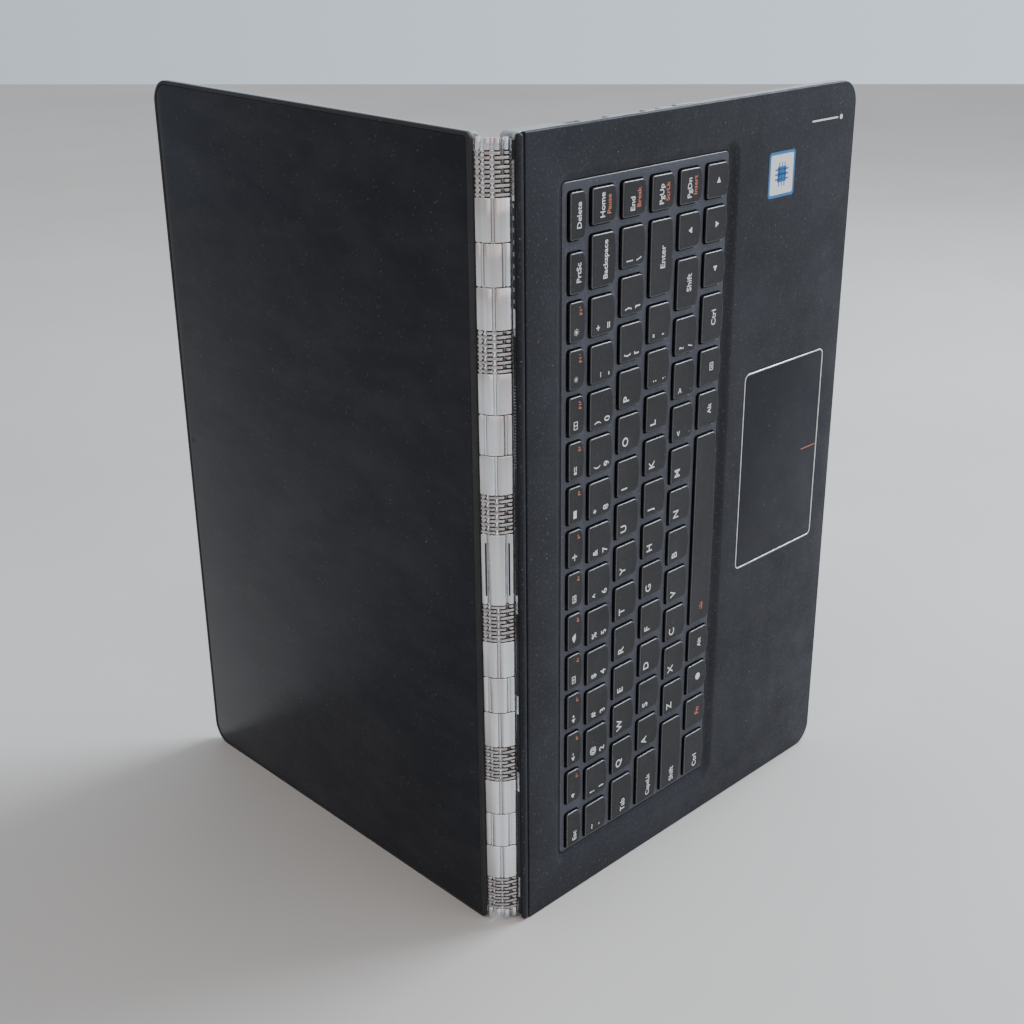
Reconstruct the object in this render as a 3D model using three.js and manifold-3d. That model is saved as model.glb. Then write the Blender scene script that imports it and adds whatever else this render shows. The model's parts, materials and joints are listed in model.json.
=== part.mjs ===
// Convertible laptop computer with a full-length linked hinge, standing on its left side edge.
// Millimetres, +Z up. Z runs along the hinge from the left side of the keyboard (0) to the right.
// The keyboard base goes back and to the right, the display back and to the left.
import * as THREE from 'three';
import { mergeVertices } from 'three/addons/utils/BufferGeometryUtils.js';
import Module from 'manifold-3d';

const wasm = await Module();
wasm.setup();

// ---- driving dimensions -------------------------------------------------------------------
const WIDTH = 324;               // side to side, now the height
const DEPTH = 218;               // one panel, hinge edge to front edge
const BASE_THICK = 9.6;
const FRONT_THICK = 4.6;         // of the base, at its tapered front edge
const LID_THICK = 4.7;
const OPENING_DEG = 277;         // angle from keyboard face round to display face
const FRONT_CORNER = 10;         // panel corner radii
const REAR_CORNER = 3;
const GAP = 0.3;                 // clearance between neighbouring pieces

// Hinge: four parallel shafts joined by three links, so that 360 degrees is shared by four bends.
const PITCH = 3.5;               // shaft to shaft
const BARREL = 1.65;             // outer radius of a knuckle
const CHANNEL = 2.05;            // radius of the hollow in a panel edge that clears a barrel
const BORE = 1.3;                // knuckle bore, over a sleeve
const SLEEVE = 1.0;
const SLEEVE_BORE = 0.78;
const PIN = 0.55;
const SHAFT_BEHIND = 0.8;        // outer shafts lie this far behind the panels' hinge edges
const BASE_SHAFT_DEEP = 5.4;     // below the keyboard face
const LID_SHAFT_DEEP = 2.45;     // behind the display face
const CAP_LEN = 4.5;             // knuckle rows along Z, from each end to the middle
const MODULE_LEN = 15.7;
const LONG_LEN = 29.6;
const ROW_GAP = 0.3;

// Base layers, measured down from the keyboard face (local x is outward, so they are negative)
const DECK_THICK = 2.0;
const WELL = { y0: 22, y1: 129, z0: 18, z1: 306.5, r: 5 };
const PAD = { y0: 144, y1: 206, z0: 117, z1: 208.4, r: 3 };
const KEY_TOP = 0.15;
const KEY_TALL = 1.2;
const KEY_TRAVEL = 1.2;
const WEB = 0.35;
const ROW_PITCH = 17.8;
const KEY_DEEP = 14.3;
const FIRST_ROW = { y: 27.7, deep: 9.2 };
const SECOND_ROW_Y = 40.1;

// ---- materials ----------------------------------------------------------------------------
const finish = (color, roughness, metalness = 0) =>
  new THREE.MeshStandardMaterial({ color, roughness, metalness });
const MAT = {
  rubberised: finish(0x24262c, 0.7),
  shell: finish(0x8d9094, 0.45, 0.6),
  keycap: finish(0x141416, 0.5),
  glass: finish(0x050506, 0.05),
  steel: finish(0xc4c6c8, 0.28, 1),
  rubber: finish(0x151516, 0.85),
  board: finish(0x123a24, 0.6),
  copper: finish(0xb87333, 0.35, 1),
  plastic: finish(0x1c1c1e, 0.6),
  port: finish(0x9a9da0, 0.35, 1),
};

// ---- solids -------------------------------------------------------------------------------
function toSolid(geometry) {
  const bare = geometry.clone();
  bare.deleteAttribute('normal');
  bare.deleteAttribute('uv');
  const merged = mergeVertices(bare, 1e-4);
  return new wasm.Manifold(new wasm.Mesh({
    numProp: 3,
    vertProperties: new Float32Array(merged.attributes.position.array),
    triVerts: new Uint32Array(merged.index.array),
  }));
}

function toGeometry(solid) {
  const mesh = solid.getMesh();
  const geometry = new THREE.BufferGeometry();
  geometry.setAttribute('position', new THREE.BufferAttribute(new Float32Array(mesh.vertProperties), 3));
  geometry.setIndex(new THREE.BufferAttribute(new Uint32Array(mesh.triVerts), 1));
  geometry.computeVertexNormals();
  return geometry;
}

// Extrudes an outline drawn in (x, y) along z.
function alongZ(shape, z0, z1, curveSegments = 3) {
  const geometry = new THREE.ExtrudeGeometry(shape, { depth: z1 - z0, bevelEnabled: false, curveSegments });
  return toSolid(geometry.translate(0, 0, z0));
}

// Extrudes an outline drawn in (y, z) along x.
function alongX(shape, x0, x1, curveSegments = 3) {
  const geometry = new THREE.ExtrudeGeometry(shape, { depth: x1 - x0, bevelEnabled: false, curveSegments });
  const turn = new THREE.Matrix4().makeBasis(
    new THREE.Vector3(0, 1, 0), new THREE.Vector3(0, 0, 1), new THREE.Vector3(1, 0, 0));
  return toSolid(geometry.applyMatrix4(turn).translate(x0, 0, 0));
}

// Extrudes an outline drawn in (z, x) along y.
function alongY(shape, y0, y1) {
  const geometry = new THREE.ExtrudeGeometry(shape, { depth: y1 - y0, bevelEnabled: false });
  const turn = new THREE.Matrix4().makeBasis(
    new THREE.Vector3(0, 0, 1), new THREE.Vector3(1, 0, 0), new THREE.Vector3(0, 1, 0));
  return toSolid(geometry.applyMatrix4(turn).translate(0, y0, 0));
}

// A rectangle with four corner radii, in the order low-low, high-low, high-high, low-high.
function roundRect(a0, a1, b0, b1, radii) {
  const [r0, r1, r2, r3] = Array.isArray(radii) ? radii : [radii, radii, radii, radii];
  const shape = new THREE.Shape();
  shape.moveTo(a0 + r0, b0);
  shape.lineTo(a1 - r1, b0);
  shape.absarc(a1 - r1, b0 + r1, r1, -Math.PI / 2, 0);
  shape.lineTo(a1, b1 - r2);
  shape.absarc(a1 - r2, b1 - r2, r2, 0, Math.PI / 2);
  shape.lineTo(a0 + r3, b1);
  shape.absarc(a0 + r3, b1 - r3, r3, Math.PI / 2, Math.PI);
  shape.lineTo(a0, b0 + r0);
  shape.absarc(a0 + r0, b0 + r0, r0, Math.PI, 1.5 * Math.PI);
  return shape;
}

function polygon(points) {
  return new THREE.Shape(points.map(([a, b]) => new THREE.Vector2(a, b)));
}

function ngon(radius, sides, x = 0, y = 0) {
  const turns = Array.from({ length: sides }, (_, i) => (2 * Math.PI * i) / sides);
  return polygon(turns.map((t) => [x + radius * Math.cos(t), y + radius * Math.sin(t)]));
}

function box(x0, x1, y0, y1, z0, z1) {
  return alongZ(polygon([[x0, y0], [x1, y0], [x1, y1], [x0, y1]]), z0, z1);
}

function join(solids) {
  return solids.reduce((whole, piece) => whole.add(piece));
}

function cut(solid, tools) {
  return tools.reduce((left, tool) => left.subtract(tool), solid);
}

function addPiece(group, name, solid, material) {
  const mesh = new THREE.Mesh(toGeometry(solid), material);
  mesh.name = name;
  group.add(mesh);
}

// ---- placement of the two panels and the links --------------------------------------------
const half = THREE.MathUtils.degToRad((360 - OPENING_DEG) / 2);
const bend = THREE.MathUtils.degToRad((OPENING_DEG - 180) / 4);

const laptop = new THREE.Group();
const base = new THREE.Group();   // local x out of the keyboard face, y from hinge to front edge
const lid = new THREE.Group();    // local x away from the display face, y from hinge to free edge
const linkA = new THREE.Group();  // local x from the shaft nearer the base to the next one
const linkB = new THREE.Group();
const linkC = new THREE.Group();
laptop.add(base, lid, linkA, linkB, linkC);

const shafts = [
  new THREE.Vector2(PITCH / 2 + PITCH * Math.cos(bend), PITCH * Math.sin(bend)),
  new THREE.Vector2(PITCH / 2, 0),
  new THREE.Vector2(-PITCH / 2, 0),
  new THREE.Vector2(-PITCH / 2 - PITCH * Math.cos(bend), PITCH * Math.sin(bend)),
];

base.rotation.z = -half;
base.position.set(
  shafts[0].x + BASE_SHAFT_DEEP * Math.cos(half) + SHAFT_BEHIND * Math.sin(half),
  shafts[0].y - BASE_SHAFT_DEEP * Math.sin(half) + SHAFT_BEHIND * Math.cos(half), 0);
lid.rotation.z = half;
lid.position.set(
  shafts[3].x - LID_SHAFT_DEEP * Math.cos(half) - SHAFT_BEHIND * Math.sin(half),
  shafts[3].y - LID_SHAFT_DEEP * Math.sin(half) + SHAFT_BEHIND * Math.cos(half), 0);
[linkA, linkB, linkC].forEach((link, i) => {
  link.position.set(shafts[i].x, shafts[i].y, 0);
  link.rotation.z = Math.PI + (1 - i) * bend;
});

// ---- rows of knuckles along the hinge -----------------------------------------------------
// An outer row shows the two outer links; an inner row shows the middle link between the knuckles
// of the base and of the lid.
function hingeRows() {
  const side = [['outer', CAP_LEN]];
  for (let i = 0; i < 2; i += 1) {
    side.push(['inner', MODULE_LEN], ['outer', MODULE_LEN], ['inner', MODULE_LEN], ['outer', MODULE_LEN]);
  }
  side.push(['inner', MODULE_LEN / 2], ['outer', MODULE_LEN / 2]);
  const order = [...side, ['inner', LONG_LEN], ...side.toReversed()];
  const total = order.reduce((sum, [, length]) => sum + length, 0);
  let z = (WIDTH - total) / 2;
  return order.map(([kind, length]) => {
    const row = { kind, z0: z + ROW_GAP / 2, z1: z + length - ROW_GAP / 2 };
    z += length;
    return row;
  });
}
const rows = hingeRows();
const outerRows = rows.filter((row) => row.kind === 'outer');
const innerRows = rows.filter((row) => row.kind === 'inner');
const HINGE_Z0 = rows[0].z0;
const HINGE_Z1 = rows.at(-1).z1;

function barOutline() {
  const points = [];
  for (let i = 0; i <= 4; i += 1) {
    const t = Math.PI / 2 + (Math.PI * i) / 4;
    points.push([BARREL * Math.cos(t), BARREL * Math.sin(t)]);
  }
  points.push(...points.map(([x, y]) => [PITCH - x, -y]));
  return polygon(points);
}

// One link: a bar at each of its rows, all carried by the sleeve on one of its shafts.
function linkSolid(ownRows, sleeveAt) {
  const outline = barOutline();
  outline.holes.push(ngon(BORE, 6, PITCH - sleeveAt, 0), ngon(SLEEVE_BORE, 6, sleeveAt, 0));
  const bars = ownRows.map((row) => alongZ(outline, row.z0, row.z1));
  const tube = ngon(SLEEVE, 6, sleeveAt, 0);
  tube.holes.push(ngon(SLEEVE_BORE, 6, sleeveAt, 0));
  return join([alongZ(tube, HINGE_Z0, HINGE_Z1), ...bars]);
}

const STEM_HALF = 0.85;          // half the thickness of the neck that carries a knuckle

function knuckle(x, y, row, reach) {
  const ring = alongZ(ngon(BARREL, 10, x, y), row.z0, row.z1);
  const stem = box(x - STEM_HALF, x + STEM_HALF, y, reach, row.z0, row.z1);
  return ring.add(stem);
}

// The bracket of a panel: a bar let into the panel's hinge edge, with a knuckle at each inner row.
function bracketSolid(shaftX, bar) {
  const shaftY = -SHAFT_BEHIND;
  const channel = alongZ(ngon(CHANNEL, 12, shaftX, shaftY), -1, WIDTH + 1);
  const spine = box(bar.x0, bar.x1, bar.y0, bar.y1, bar.z0, bar.z1).subtract(channel);
  const knuckles = innerRows.map((row) => knuckle(shaftX, shaftY, row, bar.y0 + 2));
  const bore = alongZ(ngon(BORE, 6, shaftX, shaftY), -1, WIDTH + 1);
  return join([spine, ...knuckles]).subtract(bore);
}

const BASE_BAR = { x0: -8.2, x1: -2.3, y0: 0, y1: 3.6, z0: 2.2, z1: WIDTH - 2.2 };
const LID_BAR = { x0: 1.5, x1: 3.2, y0: 0.7, y1: 4.2, z0: 2.2, z1: WIDTH - 2.2 };

function buildHinge() {
  addPiece(base, 'base_hinge_bracket', bracketSolid(-BASE_SHAFT_DEEP, BASE_BAR), MAT.steel);
  addPiece(lid, 'lid_hinge_bracket', bracketSolid(LID_SHAFT_DEEP, LID_BAR), MAT.steel);
  addPiece(linkA, 'hinge_link_base', linkSolid(outerRows, 0), MAT.steel);
  addPiece(linkB, 'hinge_link_middle', linkSolid(innerRows, 0), MAT.steel);
  addPiece(linkC, 'hinge_link_lid', linkSolid(outerRows, 0), MAT.steel);
  [linkA, linkB, linkC].forEach((link, i) => {
    addPiece(link, `hinge_pin_${i + 1}`, alongZ(ngon(PIN, 6), HINGE_Z0, HINGE_Z1), MAT.steel);
  });
  const lastPin = alongZ(ngon(SLEEVE, 6, LID_SHAFT_DEEP, -SHAFT_BEHIND), HINGE_Z0, HINGE_Z1);
  addPiece(lid, 'hinge_pin_4', lastPin, MAT.steel);
}

// ---- keyboard -----------------------------------------------------------------------------
// Each row: its hinge-side edge, key depth, and the left and right edges of each key.
function evenKeys(first, count, step, wide) {
  return Array.from({ length: count }, (_, i) => [first + i * step, first + i * step + wide]);
}

const rowY = (row) => (row === 0 ? FIRST_ROW.y : SECOND_ROW_Y + (row - 1) * ROW_PITCH);
const rowDeep = (row) => (row === 0 ? FIRST_ROW.deep : KEY_DEEP);
const NAV = [287, 300.4];
const KEY_GROUPS = {
  keys_function: { row: 0, spans: evenKeys(44.9, 13, 18.2, 15.2) },
  keys_number: { row: 1, spans: evenKeys(23.4, 13, 18.47, 15) },
  keys_q_row: { row: 2, spans: [[23.3, 42.9], ...evenKeys(46.7, 12, 18.45, 14.9), [268.1, 283.4]] },
  keys_a_row: { row: 3, spans: [[23.5, 47.6], ...evenKeys(51.3, 11, 18.44, 14.7)] },
  keys_z_row: { row: 4, spans: evenKeys(61.7, 10, 18.37, 14.9) },
  keys_left_modifiers: { row: 5, spans: [[23.5, 43.7], [47.4, 61.9], [65.7, 79.4], [82.6, 97.1]] },
  keys_right_modifiers: { row: 5, spans: [[191.8, 206.8], [210.2, 225.2], [228.6, 248.1]] },
};
const SINGLE_KEYS = {
  key_escape: { row: 0, span: [23.3, 39.8] },
  key_delete: { row: 0, span: [283.1, 300.4] },
  key_backspace: { row: 1, span: [263.5, 283.4] },
  key_enter: { row: 3, span: [254, 283.4] },
  key_shift_left: { row: 4, span: [23.5, 57.6] },
  key_shift_right: { row: 4, span: [245.7, 265.6] },
  key_space: { row: 5, span: [100.7, 188.2] },
  key_arrow_up: { row: 4, span: [269.6, 283.4] },
  key_arrow_left: { row: 5, span: [251.8, 265.6] },
  key_arrow_down: { row: 5, span: [269.6, 283.4] },
  key_arrow_right: { row: 5, span: NAV },
};

function keycap(row, [z0, z1]) {
  const y0 = rowY(row);
  const y1 = y0 + rowDeep(row);
  const trim = 1.4;
  const corners = [[y0, z0], [y1 - trim, z0], [y1, z0 + trim], [y1, z1 - trim], [y1 - trim, z1], [y0, z1]];
  const outline = polygon(corners);
  return alongX(outline, -KEY_TOP - KEY_TALL, -KEY_TOP);
}

// Keys that share a node are joined by the thin web of their rubber dome sheet.
function web(y0, y1, z0, z1) {
  const low = -KEY_TOP - KEY_TALL;
  return box(low, low + WEB, y0, y1, z0, z1);
}

function buildKeyboard() {
  Object.entries(KEY_GROUPS).forEach(([name, { row, spans }]) => {
    const caps = spans.map((span) => keycap(row, span));
    const sheet = web(rowY(row) + 1, rowY(row) + rowDeep(row) - 2, spans[0][0] + 1, spans.at(-1)[1] - 1);
    addPiece(base, name, join([sheet, ...caps]), MAT.keycap);
  });
  const navCaps = [1, 2, 3, 4].map((row) => keycap(row, NAV));
  const navSheet = web(rowY(1) + 1, rowY(4) + KEY_DEEP - 2, NAV[0] + 1, NAV[1] - 1);
  addPiece(base, 'keys_navigation', join([navSheet, ...navCaps]), MAT.keycap);
  Object.entries(SINGLE_KEYS).forEach(([name, { row, span }]) => {
    addPiece(base, name, keycap(row, span), MAT.keycap);
  });
  const top = -KEY_TOP - KEY_TALL - KEY_TRAVEL - GAP;
  const plate = box(top - 0.8, top, WELL.y0 - 3, WELL.y1 + 3, WELL.z0 - 3, WELL.z1 + 2.5);
  addPiece(base, 'keyboard_plate', plate, MAT.shell);
}

// ---- base -----------------------------------------------------------------------------------
const CORNERS = [REAR_CORNER, FRONT_CORNER, FRONT_CORNER, REAR_CORNER];
const panelOutline = () => roundRect(0, DEPTH, 0, WIDTH, CORNERS);

function buildDeck() {
  const slab = alongX(panelOutline(), -DECK_THICK, 0);
  const keyWell = alongX(roundRect(WELL.y0, WELL.y1, WELL.z0, WELL.z1, WELL.r), -5, 1);
  const padHole = alongX(roundRect(PAD.y0, PAD.y1, PAD.z0, PAD.z1, PAD.r), -5, 1);
  addPiece(base, 'palmrest_deck', cut(slab, [keyWell, padHole]), MAT.rubberised);
  const inset = 0.15;
  const lip = 0.8;
  const outer = roundRect(PAD.y0 + inset, PAD.y1 - inset, PAD.z0 + inset, PAD.z1 - inset, PAD.r);
  const frame = alongX(outer, -1.2, 0.05);
  const inner = roundRect(PAD.y0 + lip, PAD.y1 - lip, PAD.z0 + lip, PAD.z1 - lip, PAD.r - 0.6);
  addPiece(base, 'touchpad_bezel', frame.subtract(alongX(inner, -5, 1)), MAT.steel);
  const play = lip + 0.15;
  const plate = roundRect(PAD.y0 + play, PAD.y1 - play, PAD.z0 + play, PAD.z1 - play, PAD.r - 0.8);
  addPiece(base, 'touchpad', alongX(plate, -1.5, -0.1), MAT.glass);
}

// Ports, as the span of each shell along y, its depth below the face and its length inwards.
const RIGHT = { face: WIDTH - 2.9, sign: -1 };
const LEFT = { face: 2.9, sign: 1 };
const PORTS = {
  usb_c_port: { side: RIGHT, y: [28, 37.2], x: [-6.2, -3], long: 10 },
  usb_a_port_right: { side: RIGHT, y: [38.8, 52.2], x: [-7.9, -2.7], long: 11 },
  audio_jack: { side: RIGHT, y: [69, 75.4], x: [-7.2, -2.7], long: 11 },
  charge_port: { side: LEFT, y: [14, 27.4], x: [-7.9, -2.7], long: 11 },
  usb_a_port_left: { side: LEFT, y: [34, 47.4], x: [-7.9, -2.7], long: 11 },
  card_slot: { side: LEFT, y: [54, 80], x: [-6, -3.2], long: 11 },
};

function span(side, from, to) {
  const a = side.face + side.sign * from;
  const b = side.face + side.sign * to;
  return [Math.min(a, b), Math.max(a, b)];
}

function portShell({ side, y, x, long }, round) {
  const wall = 0.4;
  const body = box(x[0], x[1], y[0], y[1], ...span(side, 0, long));
  const mouth = round
    ? alongZ(ngon(1.75, 10, (x[0] + x[1]) / 2, (y[0] + y[1]) / 2), ...span(side, -1, long - 1))
    : box(x[0] + wall, x[1] - wall, y[0] + wall, y[1] - wall, ...span(side, -1, long - 1));
  const middle = (x[0] + x[1]) / 2;
  const tongue = box(middle - 0.35, middle + 0.35, y[0] + 2, y[1] - 2, ...span(side, 1, long - 0.5));
  return round ? body.subtract(mouth) : body.subtract(mouth).add(tongue);
}

const SIDE_DEEP = 6.2;           // height of the upright side wall, below it the side slopes in
const SIDE_SLOPE = 6;
const THICK_END = 26;            // the slope starts this far from the hinge edge
const COVER_WALL = 1.5;
const COVER_FLOOR = 1.2;
const COVER_TOP = -DECK_THICK - GAP;
const POWER = { y0: 92, y1: 104, x0: -5.4, x1: -3, deep: 3, proud: 0.5 };
const LOCK = { y0: 81.5, y1: 88.5, x0: -5.4, x1: -3, deep: 3, proud: 0.3 };

// The wedge that is taken off the lower edge of one side, in front of the thick rear section.
function sideSlope(face, inward) {
  const over = 2;
  const drop = BASE_THICK - SIDE_DEEP;
  const points = [
    [face, -SIDE_DEEP],
    [face + inward * SIDE_SLOPE * (1 + over / drop), -BASE_THICK - over],
    [face - inward * over, -BASE_THICK - over],
    [face - inward * over, -SIDE_DEEP],
  ];
  return alongY(polygon(inward > 0 ? points.toReversed() : points), THICK_END, DEPTH + over);
}

function buttonSolid({ y0, y1, x0, x1, deep, proud }, play) {
  return box(x0 - play, x1 + play, y0 - play, y1 + play, WIDTH - deep - play, WIDTH + proud);
}

function buildBottomCover() {
  const taperStart = 182;
  const taperEnd = 216;
  const block = alongX(panelOutline(), -BASE_THICK, COVER_TOP);
  const nose = alongZ(polygon([
    [-BASE_THICK - 1, taperStart - 7], [-BASE_THICK, taperStart], [-FRONT_THICK, taperEnd],
    [-FRONT_THICK, DEPTH + 2], [-BASE_THICK - 1, DEPTH + 2],
  ].toReversed()), -1, WIDTH + 1);
  const inside = alongZ(polygon([
    [COVER_TOP + 1, -1], [COVER_TOP + 1, DEPTH - 6], [-FRONT_THICK + COVER_FLOOR, DEPTH - 6],
    [-BASE_THICK + COVER_FLOOR, taperStart - 2], [-BASE_THICK + COVER_FLOOR, -1],
  ].toReversed()), COVER_WALL, WIDTH - COVER_WALL);
  const slopes = [sideSlope(0, 1), sideSlope(WIDTH, -1)];
  const thick = 1.6;
  const ribs = [0, WIDTH - SIDE_SLOPE - thick].map((z) => box(
    -BASE_THICK + 0.2, COVER_TOP, THICK_END, taperStart, z, z + SIDE_SLOPE + thick));
  const hollow = cut(inside, ribs);
  const pockets = Object.values(PORTS).map(({ side, y, x, long }) => box(
    x[0] - GAP, x[1] + 1, y[0] - GAP, y[1] + GAP, ...span(side, -4, long + GAP)));
  const buttons = [POWER, LOCK].map((button) => buttonSolid({ ...button, deep: 12 }, 0.2));
  const spineRoom = box(
    BASE_BAR.x0 - GAP, COVER_TOP + 1, -1, BASE_BAR.y1 + GAP, BASE_BAR.z0 - GAP, BASE_BAR.z1 + GAP);
  const channel = alongZ(ngon(CHANNEL, 12, -BASE_SHAFT_DEEP, -SHAFT_BEHIND), -1, WIDTH + 1);
  addPiece(base, 'bottom_cover',
    cut(block, [nose, ...slopes, hollow, ...pockets, ...buttons, spineRoom, channel]), MAT.shell);
}

function buildPorts() {
  Object.entries(PORTS).forEach(([name, port]) => {
    addPiece(base, name, portShell(port, name === 'audio_jack'), MAT.port);
  });
  addPiece(base, 'power_button', buttonSolid(POWER, 0), MAT.shell);
  addPiece(base, 'rotation_lock_button', buttonSolid(LOCK, 0), MAT.shell);
}

function buildFeet() {
  const tall = 0.9;
  const low = -BASE_THICK - 0.05 - tall;
  const strip = (y) => alongX(roundRect(y, y + 6, 40, WIDTH - 40, 2.8), low, low + tall, 2);
  addPiece(base, 'rear_foot', strip(26), MAT.rubber);
  addPiece(base, 'front_foot', strip(170), MAT.rubber);
}

// ---- what the base holds ----------------------------------------------------------------------
const INNER_TOP = -4.2;          // below the keyboard plate
const INNER_LOW = -BASE_THICK + COVER_FLOOR + 0.2;
const FAN = { y: 34, z: 236, r: 19, half: 22 };

function buildFan() {
  const sides = [FAN.y - FAN.half, FAN.y + FAN.half, FAN.z - FAN.half, FAN.z + FAN.half];
  const housing = box(INNER_LOW, INNER_TOP, ...sides);
  const bowl = alongX(ngon(FAN.r + 1.2, 16, FAN.y, FAN.z), INNER_LOW + 0.6, INNER_TOP + 1);
  const outlet = box(INNER_LOW + 0.6, INNER_TOP + 1, FAN.y - FAN.half - 1, FAN.y, FAN.z - 14, FAN.z + 14);
  addPiece(base, 'fan_housing', cut(housing, [bowl, outlet]), MAT.plastic);
  const low = INNER_LOW + 0.9;
  const hub = alongX(ngon(7, 12, FAN.y, FAN.z), low, INNER_TOP - 0.2);
  const blade = box(low, INNER_TOP - 0.5, 6, FAN.r, -0.4, 0.4);
  const count = 11;
  const blades = Array.from({ length: count }, (_, i) =>
    blade.rotate([(360 * i) / count, 0, 0]).translate([0, FAN.y, FAN.z]));
  addPiece(base, 'fan_impeller', join([hub, ...blades]), MAT.plastic);
}

function buildBoards() {
  addPiece(base, 'mainboard', box(-6.2, -5.2, 20, 98, 62, 208), MAT.board);
  addPiece(base, 'ssd_module', box(-7.8, -6.6, 60, 82, 70, 150), MAT.board);
  addPiece(base, 'wireless_card', box(-7.8, -6.6, 60, 82, 160, 190), MAT.board);
  addPiece(base, 'heat_pipe', box(-7.6, -5.4, 7, 11, 90, 258), MAT.copper);
  addPiece(base, 'battery_pack', box(-7.8, -4.6, 102, 178, 46, 278), MAT.plastic);
  addPiece(base, 'speaker_left', box(-6.4, -3, 138, 188, 10, 34), MAT.plastic);
  addPiece(base, 'speaker_right', box(-6.4, -3, 138, 188, WIDTH - 34, WIDTH - 10), MAT.plastic);
}

// ---- display ------------------------------------------------------------------------------------
const RIM_PROUD = 0.2;
const RIM_DEEP = 1.1;
const SIDE_RIM = 1.5;
const HINGE_RIM = 2.5;
const GLASS_THICK = 0.8;

function buildDisplay() {
  const channel = alongZ(ngon(CHANNEL, 12, LID_SHAFT_DEEP, -SHAFT_BEHIND), -1, WIDTH + 1);
  const hole = (inset) => roundRect(
    HINGE_RIM + inset, DEPTH - SIDE_RIM - inset, SIDE_RIM + inset, WIDTH - SIDE_RIM - inset,
    [1.5, FRONT_CORNER - SIDE_RIM, FRONT_CORNER - SIDE_RIM, 1.5]);
  const ring = alongX(panelOutline(), -RIM_PROUD, RIM_DEEP).subtract(alongX(hole(0), -2, 3));
  addPiece(lid, 'display_rim', ring.subtract(channel), MAT.rubber);
  addPiece(lid, 'touch_glass', alongX(hole(0.15), 0, GLASS_THICK), MAT.glass);
  addPiece(lid, 'lcd_panel', box(1.1, 2.9, 6, DEPTH - 8, 10, WIDTH - 10), MAT.plastic);
  const webcam = box(1.2, 2.9, DEPTH - 6.5, DEPTH - 3, WIDTH / 2 - 30, WIDTH / 2 + 30);
  addPiece(lid, 'webcam_module', webcam, MAT.board);
  const shell = alongX(panelOutline(), RIM_DEEP + GAP, LID_THICK);
  const wall = 1.8;
  const inside = roundRect(-2, DEPTH - wall, wall, WIDTH - wall, [0.5, 8, 8, 0.5]);
  const hollow = alongX(inside, 0, LID_THICK - 1.1);
  addPiece(lid, 'lid_cover', cut(shell, [hollow, channel]), MAT.shell);
}

// ---- assembly -----------------------------------------------------------------------------------
buildHinge();
buildKeyboard();
buildDeck();
buildBottomCover();
buildPorts();
buildFeet();
buildFan();
buildBoards();
buildDisplay();

// The origin is on the floor, below the middle of the bounding box.
const middle = new THREE.Box3().setFromObject(laptop, true).getCenter(new THREE.Vector3());
laptop.position.set(-middle.x, -middle.y, 0);

export default laptop;
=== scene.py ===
"""Looks of a convertible laptop with a linked metal hinge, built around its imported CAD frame.

Everything is drawn in local millimetres and placed with four matrices:
BASE: x out of the keyboard face, y from the hinge edge to the front edge, z from left to right.
LID:  x away from the display face into the lid, y from the hinge edge to the free edge, z as above.
LINK: x from a link's first shaft to its second, z along the hinge (one matrix for each link).
"""
import json
import math

import bmesh
import bpy
from mathutils import Matrix, Vector
from mathutils.geometry import tessellate_polygon


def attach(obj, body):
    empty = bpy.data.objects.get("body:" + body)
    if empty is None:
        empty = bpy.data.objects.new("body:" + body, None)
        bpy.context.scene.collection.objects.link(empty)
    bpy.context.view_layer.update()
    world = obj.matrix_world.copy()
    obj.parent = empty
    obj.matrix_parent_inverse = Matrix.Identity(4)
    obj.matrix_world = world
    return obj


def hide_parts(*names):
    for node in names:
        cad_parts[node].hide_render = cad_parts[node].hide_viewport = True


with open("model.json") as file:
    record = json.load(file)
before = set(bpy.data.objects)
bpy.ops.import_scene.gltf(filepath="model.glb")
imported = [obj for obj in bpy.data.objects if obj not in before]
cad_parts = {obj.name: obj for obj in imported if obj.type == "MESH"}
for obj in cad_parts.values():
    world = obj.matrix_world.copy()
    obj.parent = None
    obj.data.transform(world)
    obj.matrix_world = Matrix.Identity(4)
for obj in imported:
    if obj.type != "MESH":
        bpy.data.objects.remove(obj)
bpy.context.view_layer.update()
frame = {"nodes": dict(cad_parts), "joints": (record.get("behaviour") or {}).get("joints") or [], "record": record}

# ---- driving dimensions, in millimetres ----
MM = 0.001
WIDTH = 324.0
DEPTH = 218.0
BASE_THICK = 9.6
FRONT_THICK = 4.6
LID_THICK = 4.7
FRONT_CORNER = 10.0
REAR_CORNER = 3.0
SHAFT_BEHIND = 0.8
BASE_SHAFT_DEEP = 5.4
LID_SHAFT_DEEP = 2.45
BARREL = 1.65
CHANNEL = 2.05
DECK_THICK = 2.0
KEY_TOP = -0.15
FLOOR_TOP = -1.4
KEY_GAP = 0.5
REAR_GAP = 0.35  # a key's hole is wider towards the hinge
CORNERS = [REAR_CORNER, FRONT_CORNER, FRONT_CORNER, REAR_CORNER]

# ---- places taken from the frame ----
JOINT_OF = {joint["child"]: joint for joint in frame["joints"]}
FACE_OUT = -Vector(JOINT_OF["key_space"]["axis"])
HALF = math.atan2(-FACE_OUT.y, FACE_OUT.x)  # turn of each panel's face away from the frame's x
BEND = (math.pi - 2 * HALF) / 4  # turn at each hinge shaft
LINK_BODIES = ("link_base", "link_middle", "link_lid")
SHAFTS = [Vector((*JOINT_OF[body]["pos_m"][:2], 0.0)) for body in (*LINK_BODIES, "lid")]
PITCH = (SHAFTS[2] - SHAFTS[1]).length / MM


def placed(shaft, shaft_x, shaft_y, turn):
    """From local millimetres, where a hinge shaft is at (shaft_x, shaft_y), to the frame's metres."""
    local = Matrix.Translation((-shaft_x, -shaft_y, 0))
    return Matrix.Translation(shaft) @ Matrix.Rotation(turn, 4, "Z") @ Matrix.Scale(MM, 4) @ local


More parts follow.
